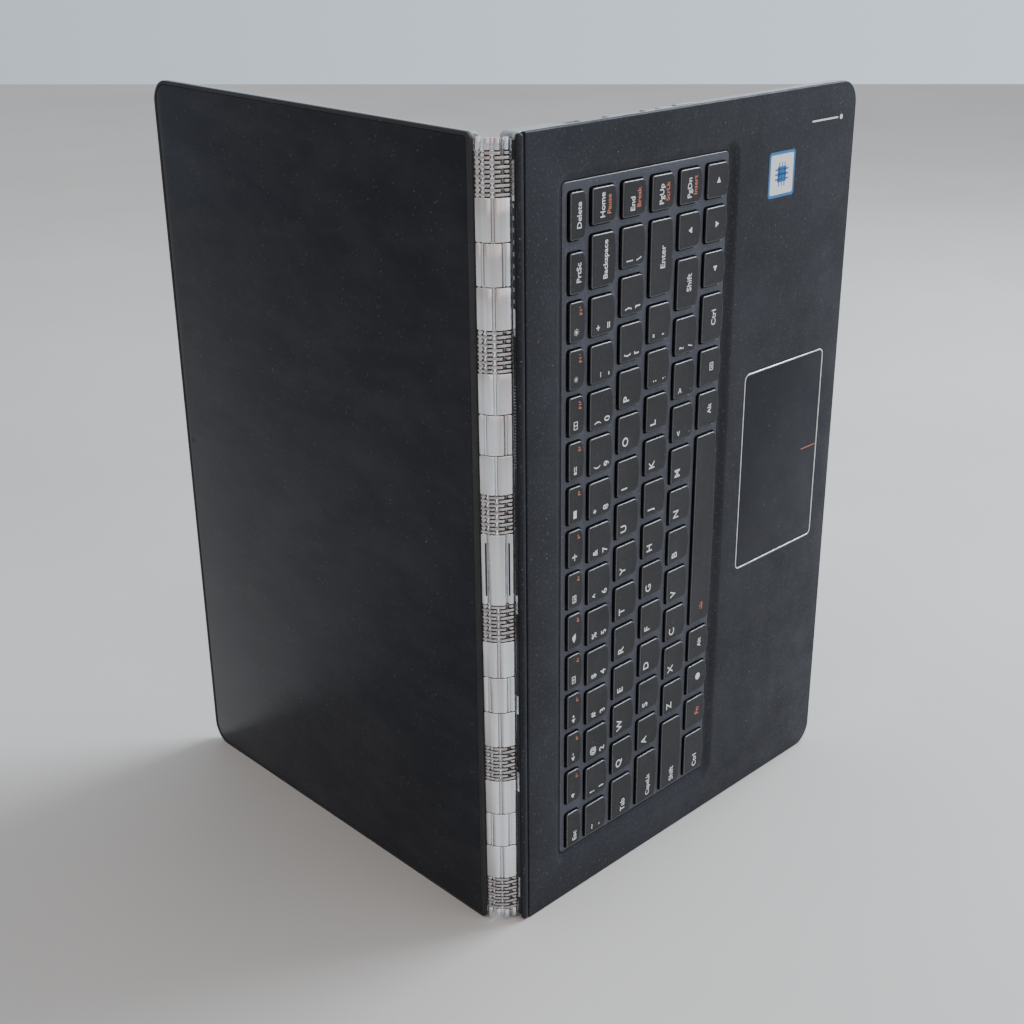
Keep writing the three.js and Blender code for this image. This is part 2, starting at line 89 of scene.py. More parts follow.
BASE = placed(SHAFTS[0], -BASE_SHAFT_DEEP, -SHAFT_BEHIND, -HALF)
LID = placed(SHAFTS[3], LID_SHAFT_DEEP, -SHAFT_BEHIND, HALF)
LINK = [placed(SHAFTS[i], 0, 0, math.pi + (1 - i) * BEND) for i in range(3)]


def new_object(name, data):
    obj = bpy.data.objects.new(name, data)
    bpy.context.scene.collection.objects.link(obj)
    return obj


# ---- camera ----
LENS = 57.07
LENS_SHIFT = (-0.0345, 0.1377)
CAMERA_OFF = Vector((0.0166, -0.5778, 0.4034))  # metres from the foot of the hinge
CAMERA_TURN = (90 - 25.6, 0, -0.14)  # degrees


def add_camera():
    """Seen from in front of the hinge and a little above."""
    near = (BASE @ Vector((0, 0, 0)) + LID @ Vector((0, 0, 0))) / 2
    data = bpy.data.cameras.new("camera")
    data.sensor_width = 36.0
    data.lens = LENS
    data.shift_x, data.shift_y = LENS_SHIFT
    data.clip_start = 0.01
    camera = new_object("camera", data)
    camera.location = Vector((near.x, near.y, 0)) + CAMERA_OFF
    camera.rotation_euler = [math.radians(angle) for angle in CAMERA_TURN]
    bpy.context.scene.camera = camera


# ---- outlines: closed lists of (a, b), anticlockwise ----
def arc(ca, cb, radius, start, end, steps):
    turns = [math.radians(start + (end - start) * i / steps) for i in range(steps + 1)]
    return [(ca + radius * math.cos(t), cb + radius * math.sin(t)) for t in turns]


def round_rect(a0, a1, b0, b1, radii, steps=6):
    """Corner radii in the order low-low, high-low, high-high, low-high."""
    r = radii if isinstance(radii, (list, tuple)) else [radii] * 4
    return (arc(a0 + r[0], b0 + r[0], r[0], 180, 270, steps)
            + arc(a1 - r[1], b0 + r[1], r[1], 270, 360, steps)
            + arc(a1 - r[2], b1 - r[2], r[2], 0, 90, steps)
            + arc(a0 + r[3], b1 - r[3], r[3], 90, 180, steps))


def rect(bounds, grow, radius, steps=6):
    """A rounded rectangle a margin larger than its bounds a0, a1, b0, b1."""
    a0, a1, b0, b1 = bounds
    return round_rect(a0 - grow, a1 + grow, b0 - grow, b1 + grow, radius, steps)


def circle(radius, steps=24, a=0.0, b=0.0):
    return arc(a, b, radius, 0, 360 * (steps - 1) / steps, steps - 1)


def inset(points, amount):
    """Moves each side of a closed outline inwards (outwards if negative)."""
    count = len(points)
    result = []
    for i in range(count):
        before, here, after = Vector(points[i - 1]), Vector(points[i]), Vector(points[(i + 1) % count])
        first, second = (here - before).normalized(), (after - here).normalized()
        normal = Vector((-first.y - second.y, first.x + second.x))
        scale = amount / max(0.3, (1 + first.dot(second)) / 2)
        result.append(tuple(here + normal / 2 * scale))
    return result


def lerp(first, second, t):
    return [tuple(Vector(p).lerp(Vector(q), t)) for p, q in zip(first, second)]


# ---- solids: (vertices, faces) in local millimetres ----
def across(outline, x):
    """An outline drawn in (y, z), at a height x."""
    return [(x, a, b) for a, b in outline]


def along(outline, z):
    """An outline drawn in (x, y), at a height z."""
    return [(a, b, z) for a, b in outline]


def loft(rings, closed=False):
    """Joins rings of equal length. A closed loft ends on its first ring; any other has two caps."""
    count = len(rings[0])
    points = [p for ring in rings for p in ring]
    faces = []
    for k in range(len(rings) if closed else len(rings) - 1):
        low, high = k * count, ((k + 1) % len(rings)) * count
        faces += [[low + i, low + (i + 1) % count, high + (i + 1) % count, high + i] for i in range(count)]
    if not closed:
        faces += [list(range(count)), list(range((len(rings) - 1) * count, len(points)))]
    return points, faces


def fillet(outline, t, radius, direction, steps=4):
    """Insets of an outline round an edge that ends at height t, going in the given direction."""
    turns = [math.radians(90 * i / steps) for i in range(steps + 1)]
    return [(inset(outline, radius * (1 - math.cos(a))), t - direction * radius * (1 - math.sin(a)))
            for a in turns]


def prism(outline, low, high, place=across, low_round=0.0, high_round=0.0, steps=4):
    """An extruded outline with rounded ends."""
    bottom = fillet(outline, low, low_round, -1, steps)[::-1] if low_round else [(outline, low)]
    top = fillet(outline, high, high_round, 1, steps) if high_round else [(outline, high)]
    return loft([place(points, t) for points, t in bottom + top])


def sheet(outer, holes, x):
    """A flat face with holes."""
    loops = [across(outer, x)] + [across(hole, x) for hole in holes]
    points = [p for loop in loops for p in loop]
    return points, [list(t) for t in tessellate_polygon([[Vector(p) for p in loop] for loop in loops])]


def wall(outlines):
    """An open band through a list of (outline, x)."""
    points, faces = loft([across(outline, x) for outline, x in outlines])
    return points, faces[:-2]


def block(x0, x1, y0, y1, z0, z1, soft=0.0):
    outline = [(x0, y0), (x1, y0), (x1, y1), (x0, y1)]
    return prism(outline, z0, z1, along, soft, soft, 2)


def runs(outline, spans, soft=0.0, steps=2):
    """An outline in (x, y) drawn through each span of z, with rounded ends."""
    return [prism(outline, z0, z1, along, soft, soft, steps) for z0, z1 in spans]


def full_width(x0, x1, y0, y1, aside):
    """A block that ends at the same distance from the left and the right side."""
    return block(x0, x1, y0, y1, aside, WIDTH - aside)


def channel(shaft_x):
    """Room for the barrels along a panel's hinge edge."""
    return prism(circle(CHANNEL, 24, shaft_x, -SHAFT_BEHIND), -1, WIDTH + 1, along)


def moved(solid, matrix):
    points, faces = solid
    return [tuple(matrix @ Vector(p)) for p in points], faces


# ---- making pieces ----
MERGE = 0.0004  # points closer than this are one point
SHARP = math.radians(32)  # edges that turn by more than this are drawn sharp


def mesh_object(name, solids, place):
    points, faces = [], []
    for solid_points, solid_faces in solids:
        first = len(points)
        points += solid_points
        faces += [[first + i for i in face] for face in solid_faces]
    mesh = bpy.data.meshes.new(name)
    mesh.from_pydata(points, [], faces)
    work = bmesh.new()
    work.from_mesh(mesh)
    bmesh.ops.remove_doubles(work, verts=work.verts, dist=MERGE)
    bmesh.ops.dissolve_degenerate(work, edges=work.edges, dist=MERGE / 2)
    bmesh.ops.recalc_face_normals(work, faces=work.faces)
    work.to_mesh(mesh)
    work.free()
    mesh.transform(place)
    finish_mesh(mesh)
    return new_object(name, mesh)


def finish_mesh(mesh):
    mesh.shade_smooth()
    mesh.set_sharp_from_angle(angle=SHARP)


def piece(name, solids, place, material, body, stands_for=()):
    obj = mesh_object(name, solids, place)
    obj.data.materials.append(material)
    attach(obj, body)
    if stands_for:
        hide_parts(*stands_for)
    return obj


def apply_modifiers(obj):
    bpy.context.view_layer.update()
    seen = obj.evaluated_get(bpy.context.evaluated_depsgraph_get())
    result = bpy.data.meshes.new_from_object(seen)
    obj.modifiers.clear()
    obj.data = result
    finish_mesh(result)


def carve(obj, cutters, place):
    """Cuts closed solids out of an object."""
    tool = mesh_object("cutter", cutters, place)
    modifier = obj.modifiers.new("carve", "BOOLEAN")
    modifier.operation = "DIFFERENCE"
    modifier.solver = "EXACT"
    modifier.object = tool
    apply_modifiers(obj)
    bpy.data.objects.remove(tool)


def soften(obj, width_mm):
    """Rounds the edges of an object's flat sides."""
    modifier = obj.modifiers.new("soften", "BEVEL")
    modifier.width = width_mm * MM
    modifier.segments = 3
    modifier.limit_method = "ANGLE"
    modifier.angle_limit = math.radians(12)
    apply_modifiers(obj)


def paint_where(obj, material, test):
    """Gives one more material to the faces whose normals pass a test."""
    obj.data.materials.append(material)
    for polygon in obj.data.polygons:
        if test(polygon.normal):
            polygon.material_index = len(obj.data.materials) - 1


# ---- materials ----
def new_material(name, **sockets):
    material = bpy.data.materials.new(name)
    material.use_nodes = True
    shader = material.node_tree.nodes["Principled BSDF"]
    for socket, value in sockets.items():
        shader.inputs[socket.replace("_", " ")].default_value = value
    return material


def node(material, kind, settings=None, **inputs):
    """Adds a node. Inputs are values or other nodes' output sockets; i6 is the input with index 6."""
    item = material.node_tree.nodes.new("ShaderNode" + kind)
    for name, value in (settings or {}).items():
        setattr(item, name, value)
    for name, value in inputs.items():
        socket = item.inputs[int(name[1:])] if name[0] == "i" and name[1:].isdigit() else item.inputs[name]
        if isinstance(value, bpy.types.NodeSocket):
            material.node_tree.links.new(value, socket)
        else:
            socket.default_value = value
    return item


def surface_point(material, stretch=(1, 1, 1)):
    """A piece's coordinates at rest, in metres, so a texture's scale is in cells for each metre."""
    coordinates = node(material, "TexCoord")
    return node(material, "Mapping", Vector=coordinates.outputs["Object"], Scale=stretch).outputs[0]


def noise(material, scale, detail=3.0, stretch=(1, 1, 1), rough=0.55):
    point = surface_point(material, stretch)
    texture = node(material, "TexNoise", Vector=point, Scale=scale, Detail=detail, Roughness=rough)
    return texture.outputs[0]


def remap(material, value, low, high, to_low=0.0, to_high=1.0):
    inputs = {"Value": value, "From Min": low, "From Max": high, "To Min": to_low, "To Max": to_high}
    return node(material, "MapRange", None, **inputs).outputs[0]


def blend_color(material, amount, first, second):
    item = node(material, "Mix", {"data_type": "RGBA"}, i0=amount, i6=first, i7=second)
    return item.outputs[2]


def math_node(material, operation, first, second):
    return node(material, "Math", {"operation": operation}, i0=first, i1=second).outputs[0]


def specks(material, scale, size, share):
    """A mask of scattered dots: those of a cell pattern's points that lie near the surface."""
    cells = node(material, "TexVoronoi", Vector=surface_point(material), Scale=scale)
    split = node(material, "SeparateColor", Color=cells.outputs["Color"])
    radius = math_node(material, "MULTIPLY", split.outputs[1], size)
    near = math_node(material, "LESS_THAN", cells.outputs["Distance"], radius)
    kept = math_node(material, "LESS_THAN", split.outputs[0], share)
    return math_node(material, "MULTIPLY", near, kept)


def connect(material, **sockets):
    shader = material.node_tree.nodes["Principled BSDF"]
    for socket, output in sockets.items():
        material.node_tree.links.new(output, shader.inputs[socket.replace("_", " ")])
    return material


def bump(material, height, depth_mm):
    inputs = {"Height": height, "Distance": depth_mm * MM, "Strength": 1.0}
    return node(material, "Bump", None, **inputs).outputs[0]


DUST = (0.40, 0.43, 0.47, 1)


def coated_look(name, dark, light, roughness, grain_mm, dust, fleck_share=0.35, specular=0.5):
    """Moulded or coated plastic: cloudy colour, fine grain, smudges and a little dust."""
    material = new_material(name, Specular_IOR_Level=specular)
    cloud = remap(material, noise(material, 22, 4), 0.35, 0.68)
    grain = noise(material, 2600, 2)
    fleck = remap(material, noise(material, 900, 3, rough=0.7), 0.56, 0.72)
    color = blend_color(material, cloud, (*dark, 1), (*light, 1))
    speckled = math_node(material, "MULTIPLY", fleck, fleck_share)
    color = blend_color(material, speckled, color, (*[c * 1.9 + 0.022 for c in light], 1))
    if dust:
        dots = specks(material, 300, 0.075, dust)
        lint = specks(material, 900, 0.13, dust)
        both = math_node(material, "MAXIMUM", dots, math_node(material, "MULTIPLY", lint, 0.6))
        color = blend_color(material, math_node(material, "MULTIPLY", both, 0.4), color, DUST)
    smudge = remap(material, noise(material, 60, 5, rough=0.65), 0.3, 0.7, roughness - 0.09, roughness + 0.1)
    relief = bump(material, grain, grain_mm)
    return connect(material, Base_Color=color, Roughness=smudge, Normal=relief)


def steel_look(name, color, roughness, brushed_along_z=True):
    """Satin metal with fine brush lines, broad warm and cool streaks, and stains."""
    material = new_material(name, Metallic=1.0, Anisotropic=0.4)
    stretch = (1, 1, 0.03) if brushed_along_z else (1, 1, 1)
    lines = noise(material, 5200, 2, stretch)
    stain = remap(material, noise(material, 160, 4), 0.35, 0.7)
    streak = remap(material, noise(material, 330, 1, stretch), 0.38, 0.62)
    cool, warm = [[c * k for c, k in zip(color, tint)] for tint in ((0.94, 0.98, 1.0), (0.76, 0.72, 0.70))]
    tone = blend_color(material, streak, (*cool, 1), (*warm, 1))
    faint = math_node(material, "MULTIPLY", stain, 0.3)
    tone = blend_color(material, faint, tone, (*[c * 0.7 for c in color], 1))
    rough = remap(material, lines, 0.3, 0.7, roughness - 0.07, roughness + 0.1)
    relief = bump(material, lines, 0.004)
    return connect(material, Base_Color=tone, Roughness=rough, Normal=relief)


def glass_look():
    """Black glass over a dark panel, with dust and wiped smears."""
    material = new_material("display_glass", Specular_IOR_Level=0.11, IOR=1.5)
    dots = math_node(material, "MAXIMUM", specks(material, 420, 0.12, 0.3), specks(material, 900, 0.2, 0.22))
    smear = noise(material, 26, 6, (1, 1, 2.4), 0.7)
    haze = remap(material, smear, 0.4, 0.75)
    dark = blend_color(material, haze, (0.016, 0.0178, 0.024, 1), (0.028, 0.030, 0.037, 1))
    color = blend_color(material, math_node(material, "MULTIPLY", dots, 0.35), dark, (0.3, 0.31, 0.33, 1))
    rough = remap(material, smear, 0.35, 0.75, 0.035, 0.16)
    rough = math_node(material, "MAXIMUM", rough, math_node(material, "MULTIPLY", dots, 0.6))
    return connect(material, Base_Color=color, Roughness=rough)


def ink_look(name, color):
    material = new_material(name)
    worn = remap(material, noise(material, 1500, 3), 0.3, 0.75, 0.0, 0.45)
    tone = blend_color(material, worn, (*color, 1), (*[c * 0.6 for c in color], 1))
    return connect(material, Base_Color=tone, Roughness=remap(material, worn, 0, 1, 0.4, 0.6))


def floor_look():
    material = new_material("floor", Roughness=0.65)
    cloud = remap(material, noise(material, 3, 3), 0.3, 0.7)
    color = blend_color(material, cloud, (0.50, 0.485, 0.465, 1), (0.55, 0.535, 0.515, 1))
    return connect(material, Base_Color=color)


# dark and light colour, roughness, grain depth in mm, share of dust, share of flecks, specular level
DECK = coated_look("rubberised_deck", (0.010, 0.0115, 0.017), (0.017, 0.0195, 0.027), 0.50, 0.014, 0.6,
                   0.9, 0.22)
# The plate between the keys has the deck's colour; this lighter copy adds painted light against the shade between
# the keys.
KEY_FLOOR_PAINTED_LIGHT = coated_look("key_floor_painted_light", (0.042, 0.047, 0.064), (0.054, 0.060, 0.080), 0.5, 0.01, 0.6, 0.6, 0.3)
# The lighter colour on the rounded edges of the keys and the key plate is a painted highlight.
PAINTED_EDGE_HIGHLIGHT = coated_look("painted_edge_highlight", (0.045, 0.050, 0.062), (0.060, 0.066, 0.080), 0.24, 0.002, 0, 0.3, 0.9)
PAD_FACE = coated_look("touchpad_face", (0.013, 0.0145, 0.020), (0.017, 0.019, 0.026), 0.40, 0.002, 0.4,
                       0.3, 0.12)
KEYCAP = coated_look("keycap", (0.016, 0.0165, 0.019), (0.022, 0.0225, 0.026), 0.42, 0.006, 0.3, 0.4, 0.2)
# The keycaps' sides are the caps' own plastic; this near-black colour on them is painted shade.
KEY_SIDE_PAINTED_SHADE = coated_look("key_side_painted_shade", (0.004, 0.004, 0.005), (0.006, 0.006, 0.007), 0.35, 0.004, 0)
SHELL = coated_look("silver_shell", (0.265, 0.28, 0.295), (0.295, 0.31, 0.325), 0.42, 0.004, 0.2)
RUBBER = coated_look("rim_rubber", (0.010, 0.010, 0.012), (0.016, 0.016, 0.019), 0.62, 0.01, 0.2)
DARK_PLASTIC = coated_look("dark_plastic", (0.006, 0.006, 0.007), (0.010, 0.010, 0.011), 0.5, 0.006, 0)
BOARD = coated_look("board", (0.008, 0.055, 0.03), (0.012, 0.075, 0.042), 0.45, 0.01, 0)
STEEL = steel_look("hinge_steel", (0.90, 0.925, 0.97), 0.19)
POLISHED = steel_look("polished_steel", (0.96, 0.97, 0.98), 0.13)
PLATE_STEEL = steel_look("plate_steel", (0.62, 0.60, 0.60), 0.26, False)
BRIGHT = steel_look("bezel_metal", (0.78, 0.80, 0.82), 0.22, False)
PORT_METAL = steel_look("port_shell", (0.42, 0.43, 0.45), 0.35, False)
COPPER = steel_look("copper", (0.75, 0.38, 0.22), 0.3)
GLASS = glass_look()
WHITE_INK = ink_look("white_ink", (0.72, 0.74, 0.76))
ORANGE_INK = ink_look("orange_ink", (0.55, 0.16, 0.09))
BLUE_INK = ink_look("blue_ink", (0.02, 0.16, 0.42))


# ---- keyboard deck ----
WELL_RIM = (20.0, 133.0, 15.0, 308.8)  # where the slope into the key well starts: y0, y1, z0, z1
WELL_FOOT = (24.0, 127.0, 21.2, 304.6)  # where it ends
PAD = (144.0, 206.0, 117.0, 208.4)
EDGE_BEAD = 2.7  # rounded strip along the hinge edge
BEAD_GAP = 0.3
WELL_STEPS = 10
DECK_ROUND = 0.55
PAD_CHAMFER = 0.25
PAD_CORNER = 3.0
# the bezel's section: inset, corner radius, x
BEZEL = [(0.1, 2.9, -1.2), (0.1, 2.9, -0.05), (0.2, 2.8, 0.04), (0.62, 2.4, 0.04), (0.8, 2.2, -0.12),
         (0.8, 2.2, -1.2)]
DIVIDER = (13.0, 1.2, 0.2)  # start and end before the pad's front edge, half width


def add_deck():
    start = EDGE_BEAD + BEAD_GAP
    outline = round_rect(start, DEPTH, 0, WIDTH, [0.6, FRONT_CORNER, FRONT_CORNER, 0.6], 10)
    edge = fillet(outline, 0, DECK_ROUND, 1, 5)
    rim, foot = rect(WELL_RIM, 0, 8), rect(WELL_FOOT, 0, 2.5)
    well_depth = FLOOR_TOP - 0.35
    shares = [k / WELL_STEPS for k in range(WELL_STEPS + 1)]
    slope = [(lerp(rim, foot, t), well_depth * t * t * (3 - 2 * t)) for t in shares]
    slope.append((foot, -DECK_THICK))
    hole = rect(PAD, 0, PAD_CORNER)
    pad_rim = inset(hole, -PAD_CHAMFER)
    pad_wall = [(pad_rim, 0.0), (hole, -PAD_CHAMFER), (hole, -DECK_THICK)]
    solids = [
        sheet(edge[-1][0], [rim, pad_rim], 0.0),
        wall([(outline, -DECK_THICK)] + edge),
        wall(slope),
        wall(pad_wall),
        sheet(outline, [foot, hole], -DECK_THICK),
    ]
    piece("palmrest_panel", solids, BASE, DECK, "base", ["palmrest_deck"])
    bead = round_rect(0, EDGE_BEAD, 0.3, WIDTH - 0.3, 1.2, 6)
    piece("deck_edge_bead", [prism(bead, -DECK_THICK, 0.0, across, 0, 1.0, 6)], BASE, DECK, "base")


def add_touchpad():
    rings = [across(rect(PAD, -inwards, corner, 8), x) for inwards, corner, x in BEZEL]
    bezel = loft(rings, closed=True)
    piece("touchpad_frame", [bezel], BASE, BRIGHT, "base", ["touchpad_bezel"])
    plate = rect(PAD, -0.95, 2.1, 8)
    piece("touchpad_plate", [prism(plate, -1.5, -0.1, across, 0, 0.12)], BASE, PAD_FACE, "touchpad_plate",
          ["touchpad"])
    middle = (PAD[2] + PAD[3]) / 2
    start, end, half = DIVIDER
    divider = round_rect(PAD[1] - start, PAD[1] - end, middle - half, middle + half, 0.15, 2)
    piece("touchpad_divider", [prism(divider, -0.11, -0.085)], BASE, ORANGE_INK, "touchpad_plate")


# ---- keyboard ----
ROW_PITCH = 17.8
KEY_DEEP = 14.3
SECOND_ROW_Y = 40.1
FIRST_ROW_Y = 27.7
FIRST_ROW_DEEP = 9.2
NAV = (287.0, 300.4)
NAV_ROWS = (1, 2, 3, 4)
CAP_EDGE = 0.55
CAP_FLARE = 0.12
CAP_DISH = ((1.0, 0.03), (2.6, 0.08))  # margin, depth below the cap's top
HOLE_CHAMFER = 0.12


def even_keys(first, count, step, wide):
    return [(first + i * step, first + i * step + wide) for i in range(count)]


def row_place(row):
    if row == 0:
        return FIRST_ROW_Y, FIRST_ROW_Y + FIRST_ROW_DEEP
    y0 = SECOND_ROW_Y + (row - 1) * ROW_PITCH
    return y0, y0 + KEY_DEEP


# CAD node, row, spans and legends. Two characters are the shifted and the plain one.
KEYS = [
    ("key_escape", 0, [(23.3, 39.8)], ["Esc"]),
    ("keys_function", 0, even_keys(44.9, 13, 18.2, 15.2), [f"F{i}" for i in range(1, 13)] + ["PrtSc"]),
    ("key_delete", 0, [(283.1, 300.4)], ["Delete"]),
    ("keys_number", 1, even_keys(23.4, 13, 18.47, 15.0),
     ["~`", "!1", "@2", "#3", "$4", "%5", "^6", "&7", "*8", "(9", ")0", "_-", "+="]),
    ("key_backspace", 1, [(263.5, 283.4)], ["Backspace"]),
    ("keys_q_row", 2, [(23.3, 42.9)] + even_keys(46.7, 12, 18.45, 14.9) + [(268.1, 283.4)],
     ["Tab", *"QWERTYUIOP", "{[", "}]", "|\\"]),
    ("keys_a_row", 3, [(23.5, 47.6)] + even_keys(51.3, 11, 18.44, 14.7),
     ["CapsLk", *"ASDFGHJKL", ":;", "\"'"]),
    ("key_enter", 3, [(254.0, 283.4)], ["Enter"]),
    ("key_shift_left", 4, [(23.5, 57.6)], ["Shift"]),
    ("keys_z_row", 4, even_keys(61.7, 10, 18.37, 14.9), [*"ZXCVBNM", "<,", ">.", "?/"]),
    ("key_shift_right", 4, [(245.7, 265.6)], ["Shift"]),
    ("key_arrow_up", 4, [(269.6, 283.4)], ["up"]),
    ("keys_left_modifiers", 5, [(23.5, 43.7), (47.4, 61.9), (65.7, 79.4), (82.6, 97.1)],
     ["Ctrl", "Fn", "home", "Alt"]),
    ("key_space", 5, [(100.7, 188.2)], ["light"]),
    ("keys_right_modifiers", 5, [(191.8, 206.8), (210.2, 225.2), (228.6, 248.1)], ["Alt", "menu", "Ctrl"]),
    ("key_arrow_left", 5, [(251.8, 265.6)], ["left"]),
    ("key_arrow_down", 5, [(269.6, 283.4)], ["down"]),
    ("key_arrow_right", 5, [NAV], ["right"]),
]
NAV_KEYS = [("Home", "Pause"), ("End", "Break"), ("PgUp", "ScrLk"), ("PgDn", "Insert")]


def key_outline(y0, y1, z0, z1, grow=0.0):
    """Straight towards the hinge, rounded and slightly bowed towards the user."""
    small, large, bow = 0.9, 2.3, 0.7
    middle, reach = (z0 + z1) / 2, (z1 - z0) / 2 - large
    front = [(y1 - bow * (i / 4) ** 2, middle + reach * i / 4) for i in range(-3, 4)]
    outline = (arc(y0 + small, z0 + small, small, 180, 270, 4)
               + arc(y1 - bow - large, z0 + large, large, 270, 360, 6)
               + front
               + arc(y1 - bow - large, z1 - large, large, 0, 90, 6)
               + arc(y0 + small, z1 - small, small, 90, 180, 4))
    return inset(outline, -grow) if grow else outline


def shrunk(points, margin, y_range, z_range):
    """Scales a key's outline towards its middle, until its sides are the margin further in."""
    middle = [sum(r) / 2 for r in (y_range, z_range)]
    factor = [1 - 2 * margin / (r[1] - r[0]) for r in (y_range, z_range)]
    return [tuple(m + (c - m) * f for m, c, f in zip(middle, point, factor)) for point in points]


def keycap(row, span):
    """A cap with a soft edge, a slightly dished top and a skirt that flares towards the floor."""
    y0, y1 = row_place(row)
    outline = key_outline(y0, y1, *span)
    edge = fillet(outline, KEY_TOP, CAP_EDGE, 1, 5)
    top = edge[-1][0]
    dish = [(shrunk(top, margin, (y0, y1), span), KEY_TOP - deep) for margin, deep in CAP_DISH]
    rings = [(inset(outline, -CAP_FLARE), FLOOR_TOP - 0.15), (outline, KEY_TOP - 0.6)] + edge + dish
    return loft([across(points, x) for points, x in rings])


def add_keyboard_floor():
    """The plate between the keys, raised a little above the foot of the slope, with a hole for each key."""
    outline = rect(WELL_FOOT, -0.35, 2.0)
    edge = fillet(outline, FLOOR_TOP, 0.5, 1, 4)
    spans = [(row_place(row), span) for _, row, group, _ in KEYS for span in group]
    spans += [(row_place(row), NAV) for row in NAV_ROWS]
    holes = [key_outline(y0 - REAR_GAP, y1, z0, z1, KEY_GAP) for (y0, y1), (z0, z1) in spans]
    mouths = [inset(hole, -HOLE_CHAMFER) for hole in holes]
    low = -DECK_THICK - 0.2
    solids = [sheet(edge[-1][0], mouths, FLOOR_TOP), wall([(outline, low)] + edge)]
    solids.append(sheet(outline, holes, low))
    solids += [wall([(mouth, FLOOR_TOP), (hole, FLOOR_TOP - HOLE_CHAMFER), (hole, low)])
               for mouth, hole in zip(mouths, holes)]
    # Its lighter colour is painted light against the shade between the keys.
    grid = piece("key_grid", solids, BASE, KEY_FLOOR_PAINTED_LIGHT, "base")
    # Painted highlight along the plate's rounded edges.
    paint_where(grid, PAINTED_EDGE_HIGHLIGHT, on_soft_edge)


TEXT_PLANE = Matrix(((0, 0, 1, 0), (0, -1, 0, 0), (1, 0, 0, 0), (0, 0, 0, 1)))  # text x, y, z to z, -y, x
INK_THICK = 0.012
INK_LEVEL = KEY_TOP - 0.06
FONT_SCALE = 1.37  # font size for each millimetre of letter height

# Styles: size; y of the letters' foot, or an icon's middle, from the key's edge at the hinge; z from its left
# side, or from its right side if negative, or None in the middle; and how far letters are fattened.
LETTER = (3.7, 5.9, 2.0, 0.06)
SHIFTED = (3.0, 5.4, 1.9, 0.06)
PLAIN = (3.4, 11.8, 1.9, 0.06)
ALT_WORD = (2.5, 8.6, None, 0.06)
FN_WORD = (2.9, 9.4, None, 0.06)
NAV_WORD = (2.7, 7.0, 2.0, 0.05)
NAV_SECOND = (2.3, 10.6, 3.0, 0.04)
TOP_NUMBER = (1.9, FIRST_ROW_DEEP - 2.0, -1.5, 0.04)
TOP_ICON = (1.6, 3.6, 3.8)
ARROW_ICON = (1.6, 7.2, None)
ICON = (1.7, 7.6, None)
LIGHT_ICON = (1.7, 7.6, 7.3)
LEFT_KEYS_END = 40.0  # words on keys that start before this are at their left


def word_style(label, row, z0):
    size = 2.6 if row == 0 or label in ("Backspace", "CapsLk") else 3.0
    down = 6.0 if row == 0 else 9.0
    return size, down, None if z0 > LEFT_KEYS_END else 1.8, 0.05


def print_place(aside, span):
    """Where a print is along z, and how letters are aligned there."""
    if aside is None:
        return (span[0] + span[1]) / 2, "CENTER"
    return (span[0] + aside, "LEFT") if aside > 0 else (span[1] + aside, "RIGHT")


def text_solid(body, style, y0, span):
    """Lettering that reads from left to right, on the key that starts at y0 and fills a span along z."""
    size, down, aside, weight = style
    z, align = print_place(aside, span)
    curve = bpy.data.curves.new("text", "FONT")
    curve.body = body
    curve.size = size * FONT_SCALE
    curve.align_x = align
    curve.resolution_u = 3
    curve.offset = weight
    curve.extrude = INK_THICK
    holder = new_object("text", curve)
    bpy.context.view_layer.update()
    mesh = bpy.data.meshes.new_from_object(holder)
    solid = [tuple(v.co) for v in mesh.vertices], [list(p.vertices) for p in mesh.polygons]
    bpy.data.objects.remove(holder)
    bpy.data.meshes.remove(mesh)
    return moved(solid, Matrix.Translation((INK_LEVEL, y0 + down, z)) @ TEXT_PLANE)


def mark_solid(points, style, y0, span):
    """A small filled shape; its points are (right, up), in units of its size."""
    size, down, aside = style
    z, _ = print_place(aside, span)
    outline = [(z + a * size, -(y0 + down) + b * size) for a, b in points]
    flat = prism(outline, INK_LEVEL - INK_THICK, INK_LEVEL + INK_THICK, along)
    return moved(flat, TEXT_PLANE)


def box_mark(a0, a1, b0, b1):
    return [(a0, b0), (a1, b0), (a1, b1), (a0, b1)]


SPEAKER = [[(-1, -0.3), (-0.6, -0.3), (-0.1, -0.8), (-0.1, 0.8), (-0.6, 0.3), (-1, 0.3)]]
DASH = [box_mark(0.3, 1.1, -0.12, 0.12)]
CROSS = [box_mark(0.3, 1.1, -0.12, 0.12), box_mark(0.58, 0.82, -0.4, 0.4)]
FRAME_BOX = [box_mark(-1, 1, 0.5, 0.7), box_mark(-1, 1, -0.7, -0.5), box_mark(-1, -0.8, -0.5, 0.5),
             box_mark(0.8, 1, -0.5, 0.5)]
SUN = [circle(0.36, 12)] + [
    [(math.cos(t) * r - math.sin(t) * w, math.sin(t) * r + math.cos(t) * w)
     for r, w in ((0.55, -0.09), (0.85, -0.09), (0.85, 0.09), (0.55, 0.09))]
    for t in [math.pi * i / 4 for i in range(8)]]
TRIANGLE = [(-0.8, -0.6), (0.8, -0.6), (0, 0.8)]


def turned(points, quarter_turns):
    c, s = [(1, 0), (0, 1), (-1, 0), (0, -1)][quarter_turns % 4]
    return [(c * a - s * b, s * a + c * b) for a, b in points]


